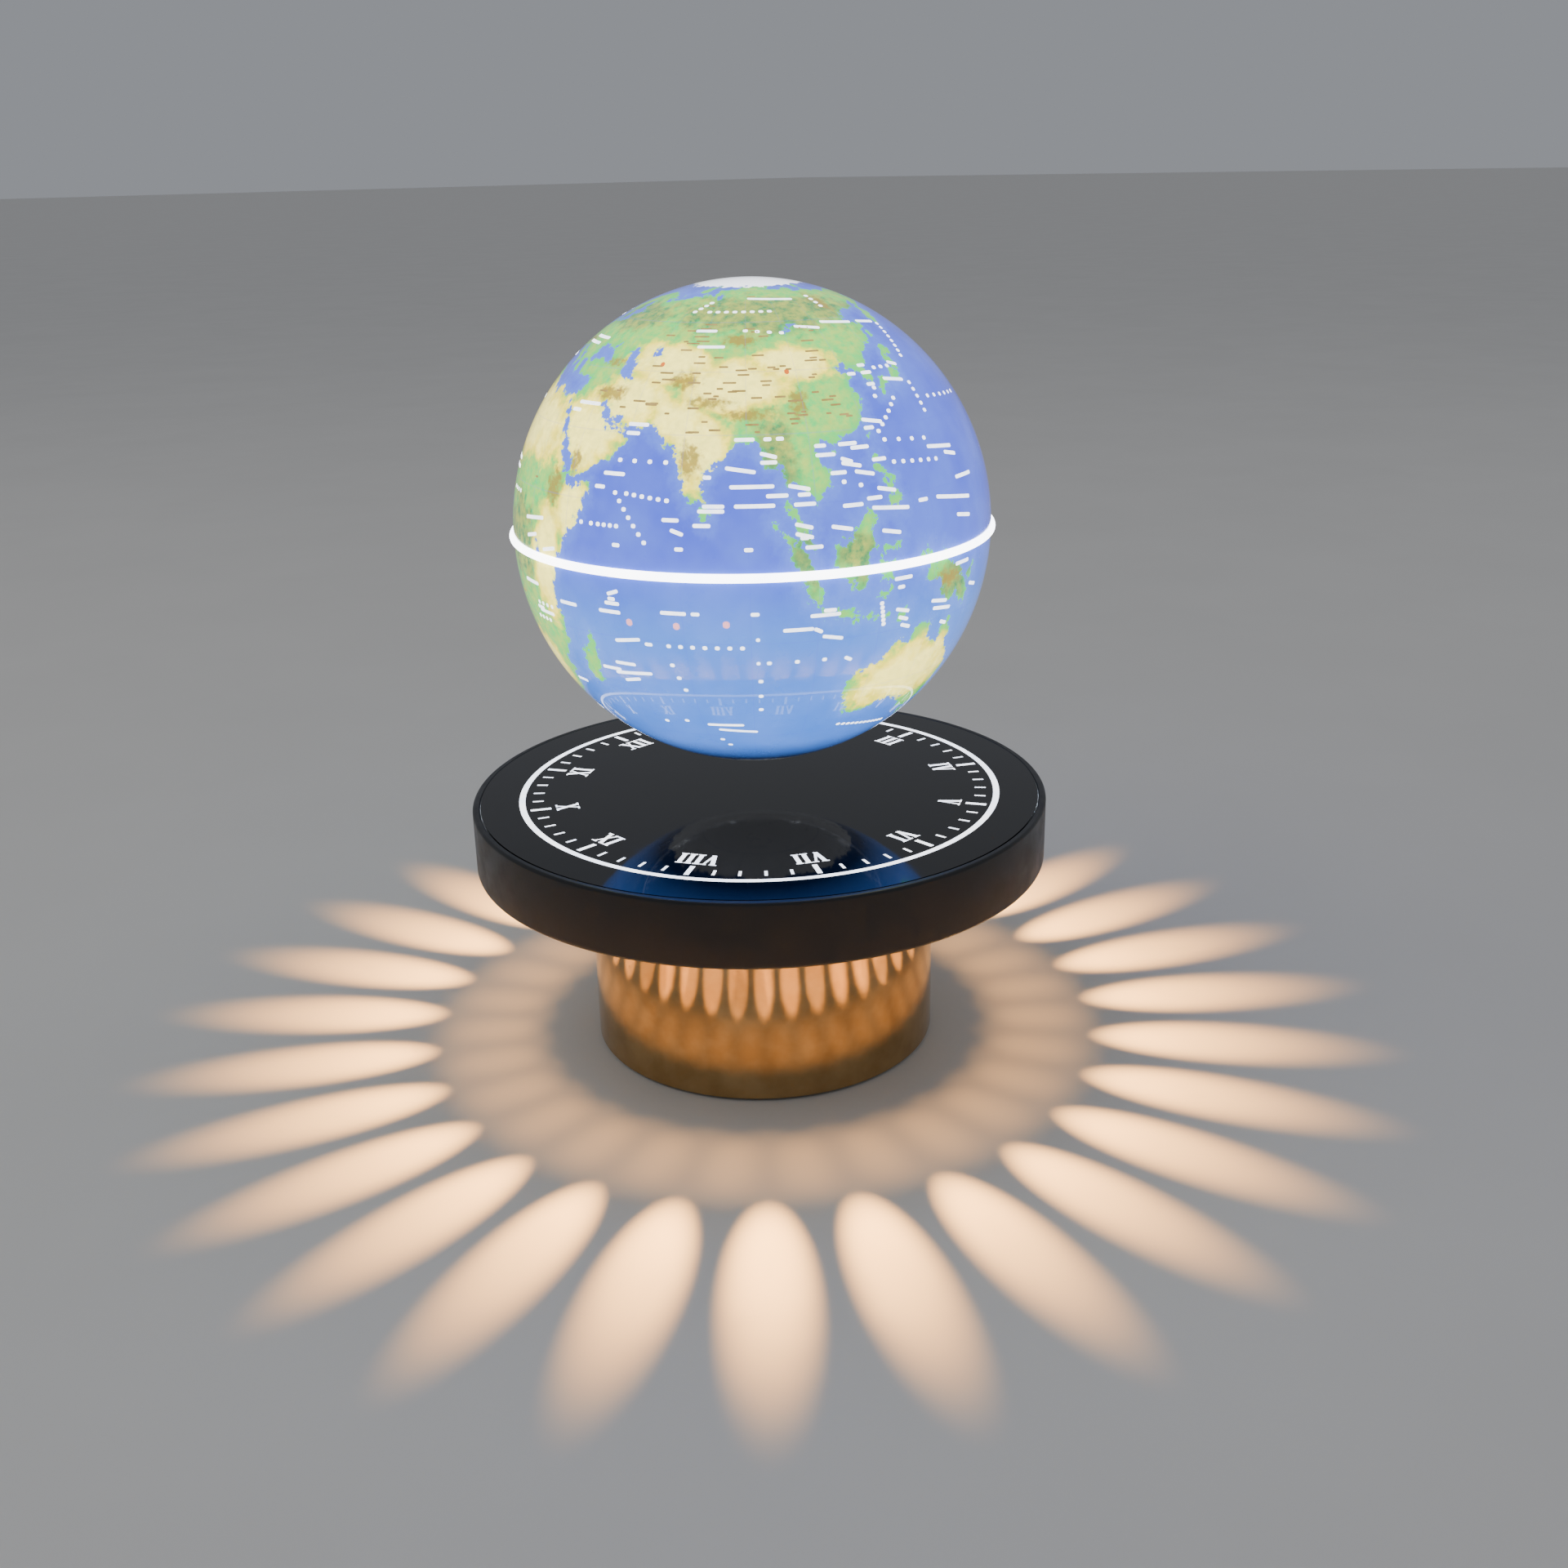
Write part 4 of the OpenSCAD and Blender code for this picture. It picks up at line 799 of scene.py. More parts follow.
# Printed labels on the sea: from longitude, from latitude, to longitude, to latitude, dots.
# No dots makes one solid stroke. The strokes stand for lettering and spell nothing.
LABELS = {
    "Arabian Sea": [
        (59, 24, 71, 24, 4), (55, 21, 61, 21, 0), (59, 32, 65, 32, 0), (59, 30, 63, 30, 0),
        (53, 18, 56, 18, 0), (62, 17, 72, 16, 6), (59, 17, 67, 7, 7), (50, 10, 53, 10, 2),
        (55, 10, 60, 10, 4), (59, 6, 61, 6, 0), (71, 12, 75, 12, 0), (73, 10, 76, 9, 0),
    ],
    "Bay of Bengal": [
        (80, 21, 82, 21, 0), (80, 15, 85, 15, 0), (79, 14, 85, 14, 0), (78, 11, 82, 11, 0),
        (85, 23, 92, 22, 0), (86, 19, 96, 19, 0), (94, 17, 99, 17, 0), (87, 15, 96, 15, 0),
        (74, 6, 76, 6, 0), (89, 6, 91, 6, 0), (99, 19, 104, 18, 0), (101, 17, 104, 17, 0),
    ],
    "southern Asia": [
        (87, 29, 92, 29, 0), (94, 29, 96, 29, 0), (97, 29, 99, 29, 0), (93, 26, 97, 25, 0),
        (93, 24, 97, 24, 0), (106, 27, 109, 27, 0), (112, 27, 117, 27, 0), (115, 26, 120, 26, 0),
        (106, 25, 111, 25, 0), (112, 24, 115, 23, 0), (112, 23, 117, 22, 0), (109, 21, 113, 21, 0),
    ],
    "South China Sea": [
        (100, 15, 105, 15, 0), (100, 11, 104, 10, 0), (100, 9, 104, 8, 0), (101, 8, 103, 8, 0),
        (102, 6, 106, 6, 0), (115, 21, 120, 20, 0), (112, 19, 116, 18, 2), (111, 14, 116, 14, 0),
        (117, 15, 121, 15, 0), (118, 13, 128, 12, 0), (108, 10, 113, 9, 0), (120, 8, 125, 7, 0),
        (120, 17, 125, 16, 0),
    ],
    "western Pacific": [
        (126, 45, 129, 45, 0), (132, 44, 138, 44, 3), (121, 43, 124, 43, 0), (126, 43, 130, 43, 0),
        (126, 40, 129, 40, 0), (128, 39, 127, 37, 2), (156, 56, 149, 46, 8), (139, 45, 143, 44, 0),
        (133, 41, 141, 40, 0), (143, 39, 143, 32, 5), (148, 35, 167, 34, 6), (133, 36, 124, 29, 6),
        (120, 32, 126, 31, 0), (120, 30, 123, 30, 0), (125, 27, 138, 26, 4), (138, 24, 148, 23, 0),
        (144, 22, 149, 21, 0), (126, 22, 140, 21, 6), (120, 23, 124, 23, 0), (146, 16, 154, 16, 0),
        (137, 13, 151, 11, 0), (131, 13, 134, 13, 0), (144, 8, 150, 7, 0),
    ],
    "Indian Ocean": [
        (57, -5, 60, -4, 0), (57, -6, 59, -6, 0), (56, -7, 60, -7, 0), (54, -9, 60, -9, 0),
        (41, -9, 47, -9, 0), (70, -8, 76, -8, 0), (77, -8, 79, -8, 0), (90, -8, 92, -8, 0),
        (97, -12, 104, -12, 0), (104, -12, 106, -13, 0), (103, -9, 110, -9, 0),
        (106, -8, 109, -8, 0), (71, -16, 88, -16, 7), (91, -14, 92, -14, 0), (57, -16, 64, -15, 0),
        (65, -16, 67, -16, 0), (55, -22, 61, -22, 0), (50, -24, 56, -24, 0), (54, -25, 65, -24, 0),
        (56, -27, 61, -26, 0), (71, -21, 73, -28, 3), (91, -20, 92, -20, 0),
        (94, -20, 107, -20, 3), (112, -20, 114, -21, 0), (92, -25, 92, -34, 3),
    ],
    "Southern Ocean": [
        (76, -40, 87, -40, 0), (79, -42, 91, -43, 0), (63, -40, 70, -39, 2), (79, -47, 81, -50, 2),
        (117, -43, 139, -47, 12),
    ],
    "island seas": [
        (106, -14, 111, -15, 0), (120, -8, 121, -13, 6), (123, -3, 128, -3, 0),
        (124, -5, 126, -5, 0), (124, -10, 128, -11, 0), (125, -12, 128, -13, 0),
        (126, -14, 129, -15, 0), (135, -10, 141, -11, 0), (136, -12, 143, -13, 0),
        (140, -16, 143, -17, 0), (143, -3, 149, -3, 0), (151, -9, 155, -10, 0),
    ],
    "northern Asia": [
        (91, 70, 120, 69, 0), (72, 64, 102, 64, 8), (64, 64, 70, 68, 4), (133, 70, 133, 65, 4),
        (70, 57, 79, 57, 0), (90, 57, 104, 56, 4), (110, 58, 121, 57, 0), (123, 59, 139, 58, 0),
        (143, 58, 154, 57, 0), (73, 52, 83, 52, 0),
    ],
    "Africa": [(27, 8, 36, 9, 0), (28, 4, 33, 5, 0), (36, 2, 41, 3, 0)],
}
PINK_SPOTS = [(62, -11), (73.5, -11), (84.7, -10.3)]
ORANGE_SPOTS = [(102.3, 44.7), (63.1, 46.8)]

# The drawn film shifts the map away from its seam, by degrees that fade in from it
SEAM_LATITUDE = -4
SEAM_SHIFT_NORTH = 7.0
SEAM_SHIFT_SOUTH = 4.5
SEAM_REACH = 8
INK_OVER = 0.05 * MM
INK_UNDER = -0.08 * MM
STRIP_STEP = 1.6 * MM
DOT_LENGTH = 1.5 * MM


def printed_latitude(latitude):
    """Where the film puts a true latitude: it stretches as it is drawn down to the seam."""
    latitude = np.asarray(latitude, float)
    shift = np.where(latitude >= SEAM_LATITUDE, SEAM_SHIFT_NORTH, SEAM_SHIFT_SOUTH)
    fade = np.tanh((latitude - SEAM_LATITUDE) / SEAM_REACH)
    return latitude + shift * fade * np.cos(np.radians(latitude))


def true_latitude(printed):
    table = np.arange(-90.0, 90.01, 0.25)
    return np.interp(printed, printed_latitude(table), table)


def edge_distance(longitude, latitude, outline, reach=6.0):
    """Degrees from each place to the outline: above zero inside, and -reach where it is far."""
    distance = np.full(longitude.shape, -reach)
    corners = np.array(outline, float)
    low, high = corners.min(0), corners.max(0)
    squeeze_most = max(0.15, np.cos(np.radians(min(85, np.abs(corners[:, 1]).max() + reach))))
    sideways = reach / squeeze_most
    near = ((longitude > low[0] - sideways) & (longitude < high[0] + sideways)
            & (latitude > low[1] - reach) & (latitude < high[1] + reach))
    if not near.any():
        return distance
    x, y = longitude[near], latitude[near]
    squeeze = np.maximum(np.cos(np.radians(y)), 0.02)
    best = np.full(x.shape, 1e9)
    inside = np.zeros(x.shape, bool)
    for (ax, ay), (bx, by) in zip(corners, np.roll(corners, -1, 0)):
        dx, dy = (bx - ax) * squeeze, by - ay
        px, py = (x - ax) * squeeze, y - ay
        along = np.clip((px * dx + py * dy) / np.maximum(dx * dx + dy * dy, 1e-9), 0, 1)
        best = np.minimum(best, (px - along * dx) ** 2 + (py - along * dy) ** 2)
        if ay != by:
            crosses = ((ay > y) != (by > y)) & (x < (bx - ax) * (y - ay) / (by - ay) + ax)
            inside ^= crosses
    best = np.sqrt(best)
    distance[near] = np.clip(np.where(inside, best, -best), -reach, reach)
    return distance


def coast_distance(longitude, latitude):
    """Degrees inland from the coast, and below zero at sea."""
    turns = [longitude, longitude + 360, longitude - 360]
    land = np.max([edge_distance(turn, latitude, outline)
                   for outline in COASTS.values() for turn in turns], axis=0)
    water = np.max([edge_distance(longitude, latitude, outline)
                    for outline in INLAND_WATERS.values()], axis=0)
    return np.minimum(land, -water)


def country(longitude, latitude, blobs):
    """How far each place belongs to that kind of country, from 0 to 1."""
    share = np.zeros(longitude.shape)
    for x, y, half_width, half_height in blobs:
        away = ((longitude - x) / half_width) ** 2 + ((latitude - y) / half_height) ** 2
        share = np.maximum(share, np.exp(-0.7 * away ** 1.5))
    return share


def map_fields(points, turn):
    """What the film shows at each point of the ball, from its place about the ball's centre."""
    azimuth = np.degrees(np.arctan2(points[:, 1], points[:, 0]))
    longitude = (azimuth - math.degrees(turn) + 180) % 360 - 180
    printed = np.degrees(np.arctan2(points[:, 2], np.hypot(points[:, 0], points[:, 1])))
    latitude = true_latitude(printed)
    coast = coast_distance(longitude, latitude)
    greenland = country(longitude, latitude, [GREENLAND]) * 4 - 2
    ice = np.maximum.reduce([(printed - 77.5) / 1.5, (-64 - latitude) / 1.5,
                             np.minimum(greenland, coast)])
    return {
        "coast": coast,
        "dry": country(longitude, latitude, DRY_LANDS),
        "high": country(longitude, latitude, HIGH_LANDS),
        "wooded": country(longitude, latitude, WOODED_LANDS),
        "ice": np.clip(ice, -2, 2),
        "printed_latitude": printed,
        "longitude": longitude,
    }


def on_ball(longitude, latitude, turn, radius):
    """The place on the ball of a map longitude and a latitude on the ball."""
    a, b = math.radians(longitude) + turn, math.radians(latitude)
    return Vector((radius * math.cos(b) * math.cos(a), radius * math.cos(b) * math.sin(a),
                   BALL_Z + radius * math.sin(b)))


def raised_strip(start, end, width, turn):
    """A thin closed strip of ink with round ends, laid on the ball between two places."""
    length = (on_ball(*end, turn, BALL_R) - on_ball(*start, turn, BALL_R)).length
    round_part = [0.06, 0.25, 0.5]
    steps = [share * width for share in round_part]
    if length > width * 1.2:
        count = max(1, round((length - width) / STRIP_STEP))
        steps += [width / 2 + (length - width) * k / count for k in range(1, count)]
    steps += [length - share * width for share in round_part[::-1]]
    steps = sorted(set(round(step, 6) for step in steps))
    centre = Vector((0, 0, BALL_Z))
    ahead = (on_ball(*end, turn, BALL_R) - on_ball(*start, turn, BALL_R)).normalized()
    vertices, faces = [], []
    for step in steps:
        share = step / length
        place = on_ball(start[0] + (end[0] - start[0]) * share,
                        start[1] + (end[1] - start[1]) * share, turn, BALL_R) - centre
        up = place.normalized()
        side = up.cross(ahead).normalized()
        gone = min(step, length - step, width / 2)
        half = math.sqrt(max(width ** 2 / 4 - (width / 2 - gone) ** 2, 1e-12))
        for reach in (-half, half):
            for lift in (INK_UNDER, INK_OVER):
                vertices.append(centre + (place + side * reach).normalized() * (BALL_R + lift))
    for k in range(len(steps) - 1):
        a, b = 4 * k, 4 * k + 4
        faces += [[a + 1, b + 1, b + 3, a + 3], [a, a + 2, b + 2, b], [a, b, b + 1, a + 1],
                  [a + 2, a + 3, b + 3, b + 2]]
    last = 4 * len(steps) - 4
    faces += [[0, 1, 3, 2], [last, last + 2, last + 3, last + 1]]
    return vertices, faces


def dotted(mark, turn, width):
    """One label: a solid stroke, or that many dots along its line."""
    x0, y0, x1, y1, dots = mark
    if not dots:
        return [raised_strip((x0, y0), (x1, y1), width, turn)]
    strips = []
    half = 0.5 * math.degrees(DOT_LENGTH / BALL_R)
    for k in range(dots):
        share = k / max(dots - 1, 1)
        x, y = x0 + (x1 - x0) * share, y0 + (y1 - y0) * share
        reach = half / max(math.cos(math.radians(y)), 0.2)
        strips.append(raised_strip((x - reach, y), (x + reach, y), width * 1.1, turn))
    return strips


def far_side_labels(chance):
    """Strokes and dot rows for the seas of the far side, in small groups."""
    marks = []
    while len(marks) < 110:
        x, y = chance.uniform(-175, 38), math.degrees(math.asin(chance.uniform(-0.86, 0.9)))
        if abs(y) < 5:
            continue
        for row in range(chance.choice([1, 1, 2, 3])):
            wide = chance.uniform(3, 9) / max(math.cos(math.radians(y)), 0.3)
            shift = chance.uniform(-2, 2)
            dots = chance.choice([0, 0, 0, 3, 4])
            level = y - row * 1.9
            marks.append((x + shift, level, x + shift + wide, level, dots))
    return marks


def inland_labels(chance):
    """Short brown strokes, scattered over inner Asia and the other lands."""
    marks = []
    while len(marks) < 90:
        x, y = chance.uniform(-170, 190), math.degrees(math.asin(chance.uniform(-0.6, 0.95)))
        if chance.random() < 0.45:
            x, y = chance.uniform(45, 118), chance.uniform(30, 58)
        inland = coast_distance(np.array([x]), true_latitude(np.array([y])))[0]
        if inland > 2 and abs(y) > 5:
            wide = chance.uniform(1.2, 3.4) / max(math.cos(math.radians(y)), 0.3)
            marks.append((x - wide / 2, y, x + wide / 2, y, 0))
    return marks


# ------------------------------------------------------------------ finishes of the ball

def ragged_share(tree, field, wander, low, high, least=0.0, most=1.0):
    """How far a field of the map, made ragged by a wander, has gone from low to high."""
    ragged = node(tree, "ShaderNodeMath", {0: field, 1: wander}, operation="ADD")
    return node(tree, "ShaderNodeMapRange",
                {"Value": ragged, "From Min": low, "From Max": high, "To Min": least,
                 "To Max": most})


def printed_map_film(settings):
    """Film printed with a relief map, drawn over the shells and lit from behind: clear, rich
    colours with ragged coasts, pale shallows, mottled hills and a smooth glossy skin."""
    material, tree, place = start_material("Printed polyester film, lit from behind")
    here = {name: node(tree, "ShaderNodeAttribute", output="Fac", attribute_name=name)
            for name in ("coast", "dry", "high", "wooded", "ice", "printed_latitude", "longitude")}
    ink = {name: rgba(getattr(settings, name))
           for name in ("sea", "sea_south", "shelf", "lowland", "forest", "plain", "desert",
                        "mountain", "ice")}

    bays = patches(tree, place, 3.2, -0.8, 0.8)
    inlets = patches(tree, place, 1.1, -0.35, 0.35)
    shore = node(tree, "ShaderNodeMath", {0: bays, 1: inlets}, operation="ADD")
    sea = layered(tree, ink["sea"], [
        (ragged_share(tree, here["printed_latitude"], 0.0, 2.0, -14.0), ink["sea_south"]),
        (patches(tree, place, 22, 0.0, 0.25), ink["shelf"]),
        (ragged_share(tree, here["coast"], shore, -3.2, -0.2, 0.0, 0.3), ink["shelf"]),
    ])

    hills = patches(tree, place, 2.6, 0.0, 1.0, 6.0)
    folds = patches(tree, place, 1.3, 0.0, 1.0, 4.0, (0.5, 0.5, 1.0))
    inland = ragged_share(tree, here["coast"], 0.0, 0.0, 2.5, 0.1, 0.4)
    raised = ragged_share(tree, here["high"], 0.0, 0.0, 0.8, 0.1, 0.4)
    downs = node(tree, "ShaderNodeMath", {0: hills, 1: inland}, operation="MULTIPLY")
    crests = node(tree, "ShaderNodeMath", {0: folds, 1: raised}, operation="MULTIPLY")
    dapple = patches(tree, place, 5.5, -0.22, 0.22)
    groves = patches(tree, place, 5, -0.3, 0.3)
    peaks = patches(tree, place, 2.2, -0.35, 0.35)
    land = layered(tree, ink["lowland"], [
        (ragged_share(tree, here["wooded"], groves, 0.25, 0.75), ink["forest"]),
        (downs, ink["plain"]),
        (ragged_share(tree, here["dry"], dapple, 0.22, 0.5), ink["plain"]),
        (ragged_share(tree, here["dry"], dapple, 0.45, 0.85), ink["desert"]),
        (ragged_share(tree, here["high"], peaks, 0.45, 0.95, 0.0, 0.85), ink["mountain"]),
        (crests, ink["mountain"]),
        (patches(tree, place, 2.6, 0.0, 0.22, 6.0), ink["forest"]),
        (ragged_share(tree, here["coast"], shore, 0.9, 0.0, 0.0, 0.35), ink["lowland"]),
    ])

    parallel = node(tree, "ShaderNodeMath", {0: here["printed_latitude"], 1: 7.5},
                    operation="PINGPONG")
    meridian = node(tree, "ShaderNodeMath", {0: here["longitude"], 1: 7.5}, operation="PINGPONG")
    nearest = node(tree, "ShaderNodeMath", {0: parallel, 1: meridian}, operation="MINIMUM")
    floes = patches(tree, place, 3.0, -0.7, 0.7)
    picture = layered(tree, sea, [
        (ragged_share(tree, here["coast"], shore, -0.1, 0.15), land),
        (ragged_share(tree, here["ice"], floes, -0.1, 0.2), ink["ice"]),
        (ragged_share(tree, nearest, 0.0, 0.0, 0.22, 0.22, 0.0), ink["sea"]),
    ])
    # Painted shadow: the glow fades to nearly black below latitude -50, where the magnet pod inside
    # the ball blocks the light
    pod_shadow_share = ragged_share(tree, here["printed_latitude"], 0.0, -50.0, -63.0, 0.0, 0.93)
    end_material(tree, {
        "Base Color": picture,
        "Roughness": patches(tree, place, 7, 0.26, 0.36),
        "IOR": 1.49,
        "Coat Weight": 1.0,
        "Coat Roughness": 0.03,
        "Normal": grain(tree, place, 1.6, 0.004),
        "Emission Color": layered(tree, picture, [(pod_shadow_share, rgba((0.0, 0.0, 0.0)))]),
        "Emission Strength": settings.glow,
    })
    return material


def printed_ink(name, one, two, strength):
    """Translucent ink on the film: brighter than the colour round it, with a soft edge."""
    return lit_plastic(name, one, two, 2.5, 0.28, 0.4, 1.49, strength)


# ------------------------------------------------------------------ the ball

BALL_SEGMENTS = 480
OUTER_ROWS = 120
INNER_ROWS = 40
FLANGE_GAP = 0.2 * MM
SPOT_WIDTH = 2.2 * MM


def half_ball(name, side, settings, film):
    """One printed half shell, cut flat where the equator band's web goes between the halves."""
    inside = BALL_R - settings.wall
    profile = []
    for radius, rows in ((BALL_R, OUTER_ROWS), (inside, INNER_ROWS)):
        low = math.asin(WEB / 2 / radius)
        climb = [low + (math.pi / 2 - low) * k / rows for k in range(rows + 1)]
        turned = [(radius * math.cos(a), BALL_Z + side * radius * math.sin(a)) for a in climb]
        turned[-1] = (0.0, turned[-1][1])
        profile += turned if radius == BALL_R else turned[::-1]
    vertices, faces = lathe_mesh(profile, BALL_SEGMENTS)
    obj = new_piece(name, vertices, faces, "globe", "printed_globe", film)
    points = np.array(vertices) - np.array((0, 0, BALL_Z))
    for field, values in map_fields(points, settings.turn).items():
        attribute = obj.data.attributes.new(field, "FLOAT", "POINT")
        attribute.data.foreach_set("value", values.astype(np.float32))
    return finish_mesh(obj)


class GLOBE_OT_ball(bpy.types.Operator):
    """Builds the two half shells with their printed map"""
    bl_idname = "globe.ball"
    bl_label = "Printed ball"

    def execute(self, context):
        settings = context.scene.globe_ball
        film = printed_map_film(settings)
        for name, side, stands_for in (("ball_north", 1, "globe_north_shell"),
                                       ("ball_south", -1, "globe_south_shell")):
            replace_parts(half_ball(name, side, settings, film), stands_for)
        return {"FINISHED"}


class GLOBE_OT_band(bpy.types.Operator):
    """Builds the glowing bead at the equator with its web and inner flange"""
    bl_idname = "globe.band"
    bl_label = "Equator band"

    def execute(self, context):
        settings = context.scene.globe_ball
        bead = settings.band_height / 2
        inside = BALL_R - settings.wall
        half_web, half_flange = WEB / 2, settings.flange_height / 2
        flange = math.sqrt(inside ** 2 - half_flange ** 2) - FLANGE_GAP
        profile = arc((BALL_R, BALL_Z), bead, -90, 180, 16)
        profile += [(r, BALL_Z + z) for r, z in (
            (BALL_R, half_web), (flange, half_web), (flange, half_flange),
            (flange - settings.flange_wall, half_flange),
            (flange - settings.flange_wall, -half_flange), (flange, -half_flange),
            (flange, -half_web), (BALL_R, -half_web))]
        band = lathe("band_at_equator", profile, "globe", "band_glow",
                     opal_band_moulding(settings.band_glow))
        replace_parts(band, "equator_band")
        return {"FINISHED"}


class GLOBE_OT_labels(bpy.types.Operator):
    """Lays the strokes and dots that stand for the map's lettering"""
    bl_idname = "globe.labels"
    bl_label = "Map lettering strokes"

    def execute(self, context):
        settings = context.scene.globe_ball
        chance = random.Random(7)
        width, turn = settings.label_width, settings.turn
        sea_marks = [mark for marks in LABELS.values() for mark in marks]
        sea_marks += far_side_labels(chance)
        wide = math.degrees(SPOT_WIDTH / BALL_R) / 2
        groups = (
            ("sea_lettering", "#FFFFFF", "#E4EEFF", 3.4,
             [strip for mark in sea_marks for strip in dotted(mark, turn, width)]),
            ("land_lettering", "#B59A5A", "#9C8248", 1.4,
             [raised_strip(mark[:2], mark[2:4], width * 0.55, turn)
              for mark in inland_labels(chance)]),
            ("pink_spots", "#E9A0B0", "#E39AAC", 2.4,
             [raised_strip((x - wide, y), (x + wide, y), SPOT_WIDTH, turn)
              for x, y in PINK_SPOTS]),
            ("orange_spots", "#D8702C", "#CC6626", 2.2,
             [raised_strip((x - wide, y), (x + wide, y), SPOT_WIDTH * 0.8, turn)
              for x, y in ORANGE_SPOTS]),
        )
        for name, one, two, strength, strips in groups:
            vertices, faces = joined(strips)
            ink = printed_ink("Translucent ink, " + name.replace("_", " "), one, two, strength)
            finish_mesh(new_piece(name, vertices, faces, "globe", "printed_globe", ink))
        return {"FINISHED"}


# ------------------------------------------------------------------ the head

SCREW_HOLE = 1.55 * MM
SCREW_SINK = 2.85 * MM
SCREW_SINK_DEPTH = 1.6 * MM
POST_ORBIT = 48 * MM
LOOM_HOLE = 5.5 * MM
DIAL_LIP = 0.35 * MM
SINK_PAST = 0.2 * MM
CUT_PAST = 0.5 * MM


def countersunk_hole(centre, face_z, depth):
    """A cutter for a screw hole whose wide end lies in the upper face at face_z."""
    profile = [(0.0, face_z + SINK_PAST), (SCREW_SINK, face_z + SINK_PAST), (SCREW_SINK, face_z),
               (SCREW_HOLE, face_z - SCREW_SINK_DEPTH), (SCREW_HOLE, face_z - (depth + SINK_PAST)),
               (0.0, face_z - (depth + SINK_PAST))]
    return lathe_mesh(profile, 40, centre)


def window_outline(angle, inner, outer, width):
    """A slot along the radius at that angle, with round ends."""
    half = width / 2
    outline = arc((outer - half, 0.0), half, -90, 180, 12)
    outline += arc((inner + half, 0.0), half, 90, 180, 12)
    c, s = math.cos(angle), math.sin(angle)
    return [(x * c - y * s, x * s + y * c) for x, y in outline]


class GLOBE_OT_head(bpy.types.Operator):
    """Builds the black head tray with its windows"""
    bl_idname = "globe.head"
    bl_label = "Head tray"

    def execute(self, context):
        settings = context.scene.globe_head
        ledge_r = HEAD_R - settings.rim_wall - settings.ledge
        spigot = box_radius("base_plate")
        spigot_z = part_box("head_tray")[0].z
        rim = settings.edge_round
        profile = [(0.0, HEAD_Z0), (spigot - settings.spigot_wall, HEAD_Z0),
                   (spigot - settings.spigot_wall, spigot_z), (spigot, spigot_z),
                   (spigot, HEAD_Z0)]
        profile += arc((HEAD_R - rim, HEAD_Z0 + rim), rim, -90, 90, 8)
        profile += arc((HEAD_R - rim, HEAD_TOP - rim), rim, 0, 90, 8)
        profile += [(HEAD_R - settings.rim_wall + DIAL_LIP, HEAD_TOP),
                    (HEAD_R - settings.rim_wall, HEAD_TOP - DIAL_LIP),
                    (HEAD_R - settings.rim_wall, GUIDE_Z0), (ledge_r, GUIDE_Z0),
                    (ledge_r, FLOOR_TOP), (0.0, FLOOR_TOP)]
        outer = ledge_r - settings.window_edge
        inner = outer - settings.window_length
        outlines = [window_outline(2 * math.pi * k / settings.window_count, inner, outer,
                                   settings.window_width)
                    for k in range(settings.window_count)]
        outlines.append([(LOOM_HOLE * math.cos(a), LOOM_HOLE * math.sin(a))
                         for a in (2 * math.pi * k / 48 for k in range(48))])
        cutters = [prism(outline, HEAD_Z0 - CUT_PAST, FLOOR_TOP + CUT_PAST)
                   for outline in outlines]
        for k in range(4):
            a = math.radians(45 + 90 * k)
            cutters.append(countersunk_hole((POST_ORBIT * math.cos(a), POST_ORBIT * math.sin(a)),
                                            FLOOR_TOP, FLOOR_TOP - HEAD_Z0))
        head = lathe("head_tray_moulding", profile, "base", "black_satin", finish("black_satin"),
                     joined(cutters))
        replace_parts(head, "head_tray")
        return {"FINISHED"}


# ------------------------------------------------------------------ the drum

SLEEVE_EASE = 0.4 * MM
CUT_INWARD = 8 * MM
CUT_OUTWARD = 4 * MM


class GLOBE_OT_drum(bpy.types.Operator):
    """Builds the polished drum sleeve with the opening for the rear panel"""
    bl_idname = "globe.drum"
    bl_label = "Drum sleeve"

    def execute(self, context):
        settings = context.scene.globe_drum
        inner = DRUM_R - settings.wall
        profile = eased([(inner, DRUM_Z0), (DRUM_R, DRUM_Z0), (DRUM_R, DRUM_Z1), (inner, DRUM_Z1)],
                        SLEEVE_EASE)
        gap = settings.opening_gap
        low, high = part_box("rear_panel")
        lap = settings.flange_lap + gap
        width = (high.x - low.x) / 2 - lap + gap
        bottom, top = low.z + lap - gap, high.z - lap + gap
        corner = settings.opening_round
        outline = []
        for x, z, first in ((width, top, 0), (-width, top, 90), (-width, bottom, 180),
                            (width, bottom, 270)):
            centre = (x - math.copysign(corner, x), z - corner if z == top else z + corner)
            outline += arc(centre, corner, first, 90, 8)
        n = len(outline)
        vertices = [(x, y, z) for y in (inner - CUT_INWARD, DRUM_R + CUT_OUTWARD)
                    for x, z in outline]
        faces = [list(range(n)), list(range(n, 2 * n))[::-1]]
        faces += [[k, n + k, n + (k + 1) % n, (k + 1) % n] for k in range(n)]
        drum = lathe("drum_sleeve_polished", profile, "base", "gold_metal", finish("gold_metal"),
                     (vertices, faces))
        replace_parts(drum, "drum_sleeve")
        return {"FINISHED"}


class GLOBE_OT_rear(bpy.types.Operator):
    """Finishes the rear panel, the power inlet and the lamp button"""
    bl_idname = "globe.rear"
    bl_label = "Rear panel and controls"

    def execute(self, context):
        finished_copy("rear_panel", "rear_panel_moulding", "base",
                      finish("black_satin"), 0.25)
        finished_copy("dc_jack", "power_inlet", "base",
                      finish("black_plastic"), 0.2)
        finished_copy("lamp_button", "lamp_button_cap", "button",
                      finish("button_plastic"), 0.5, 4)
        return {"FINISHED"}


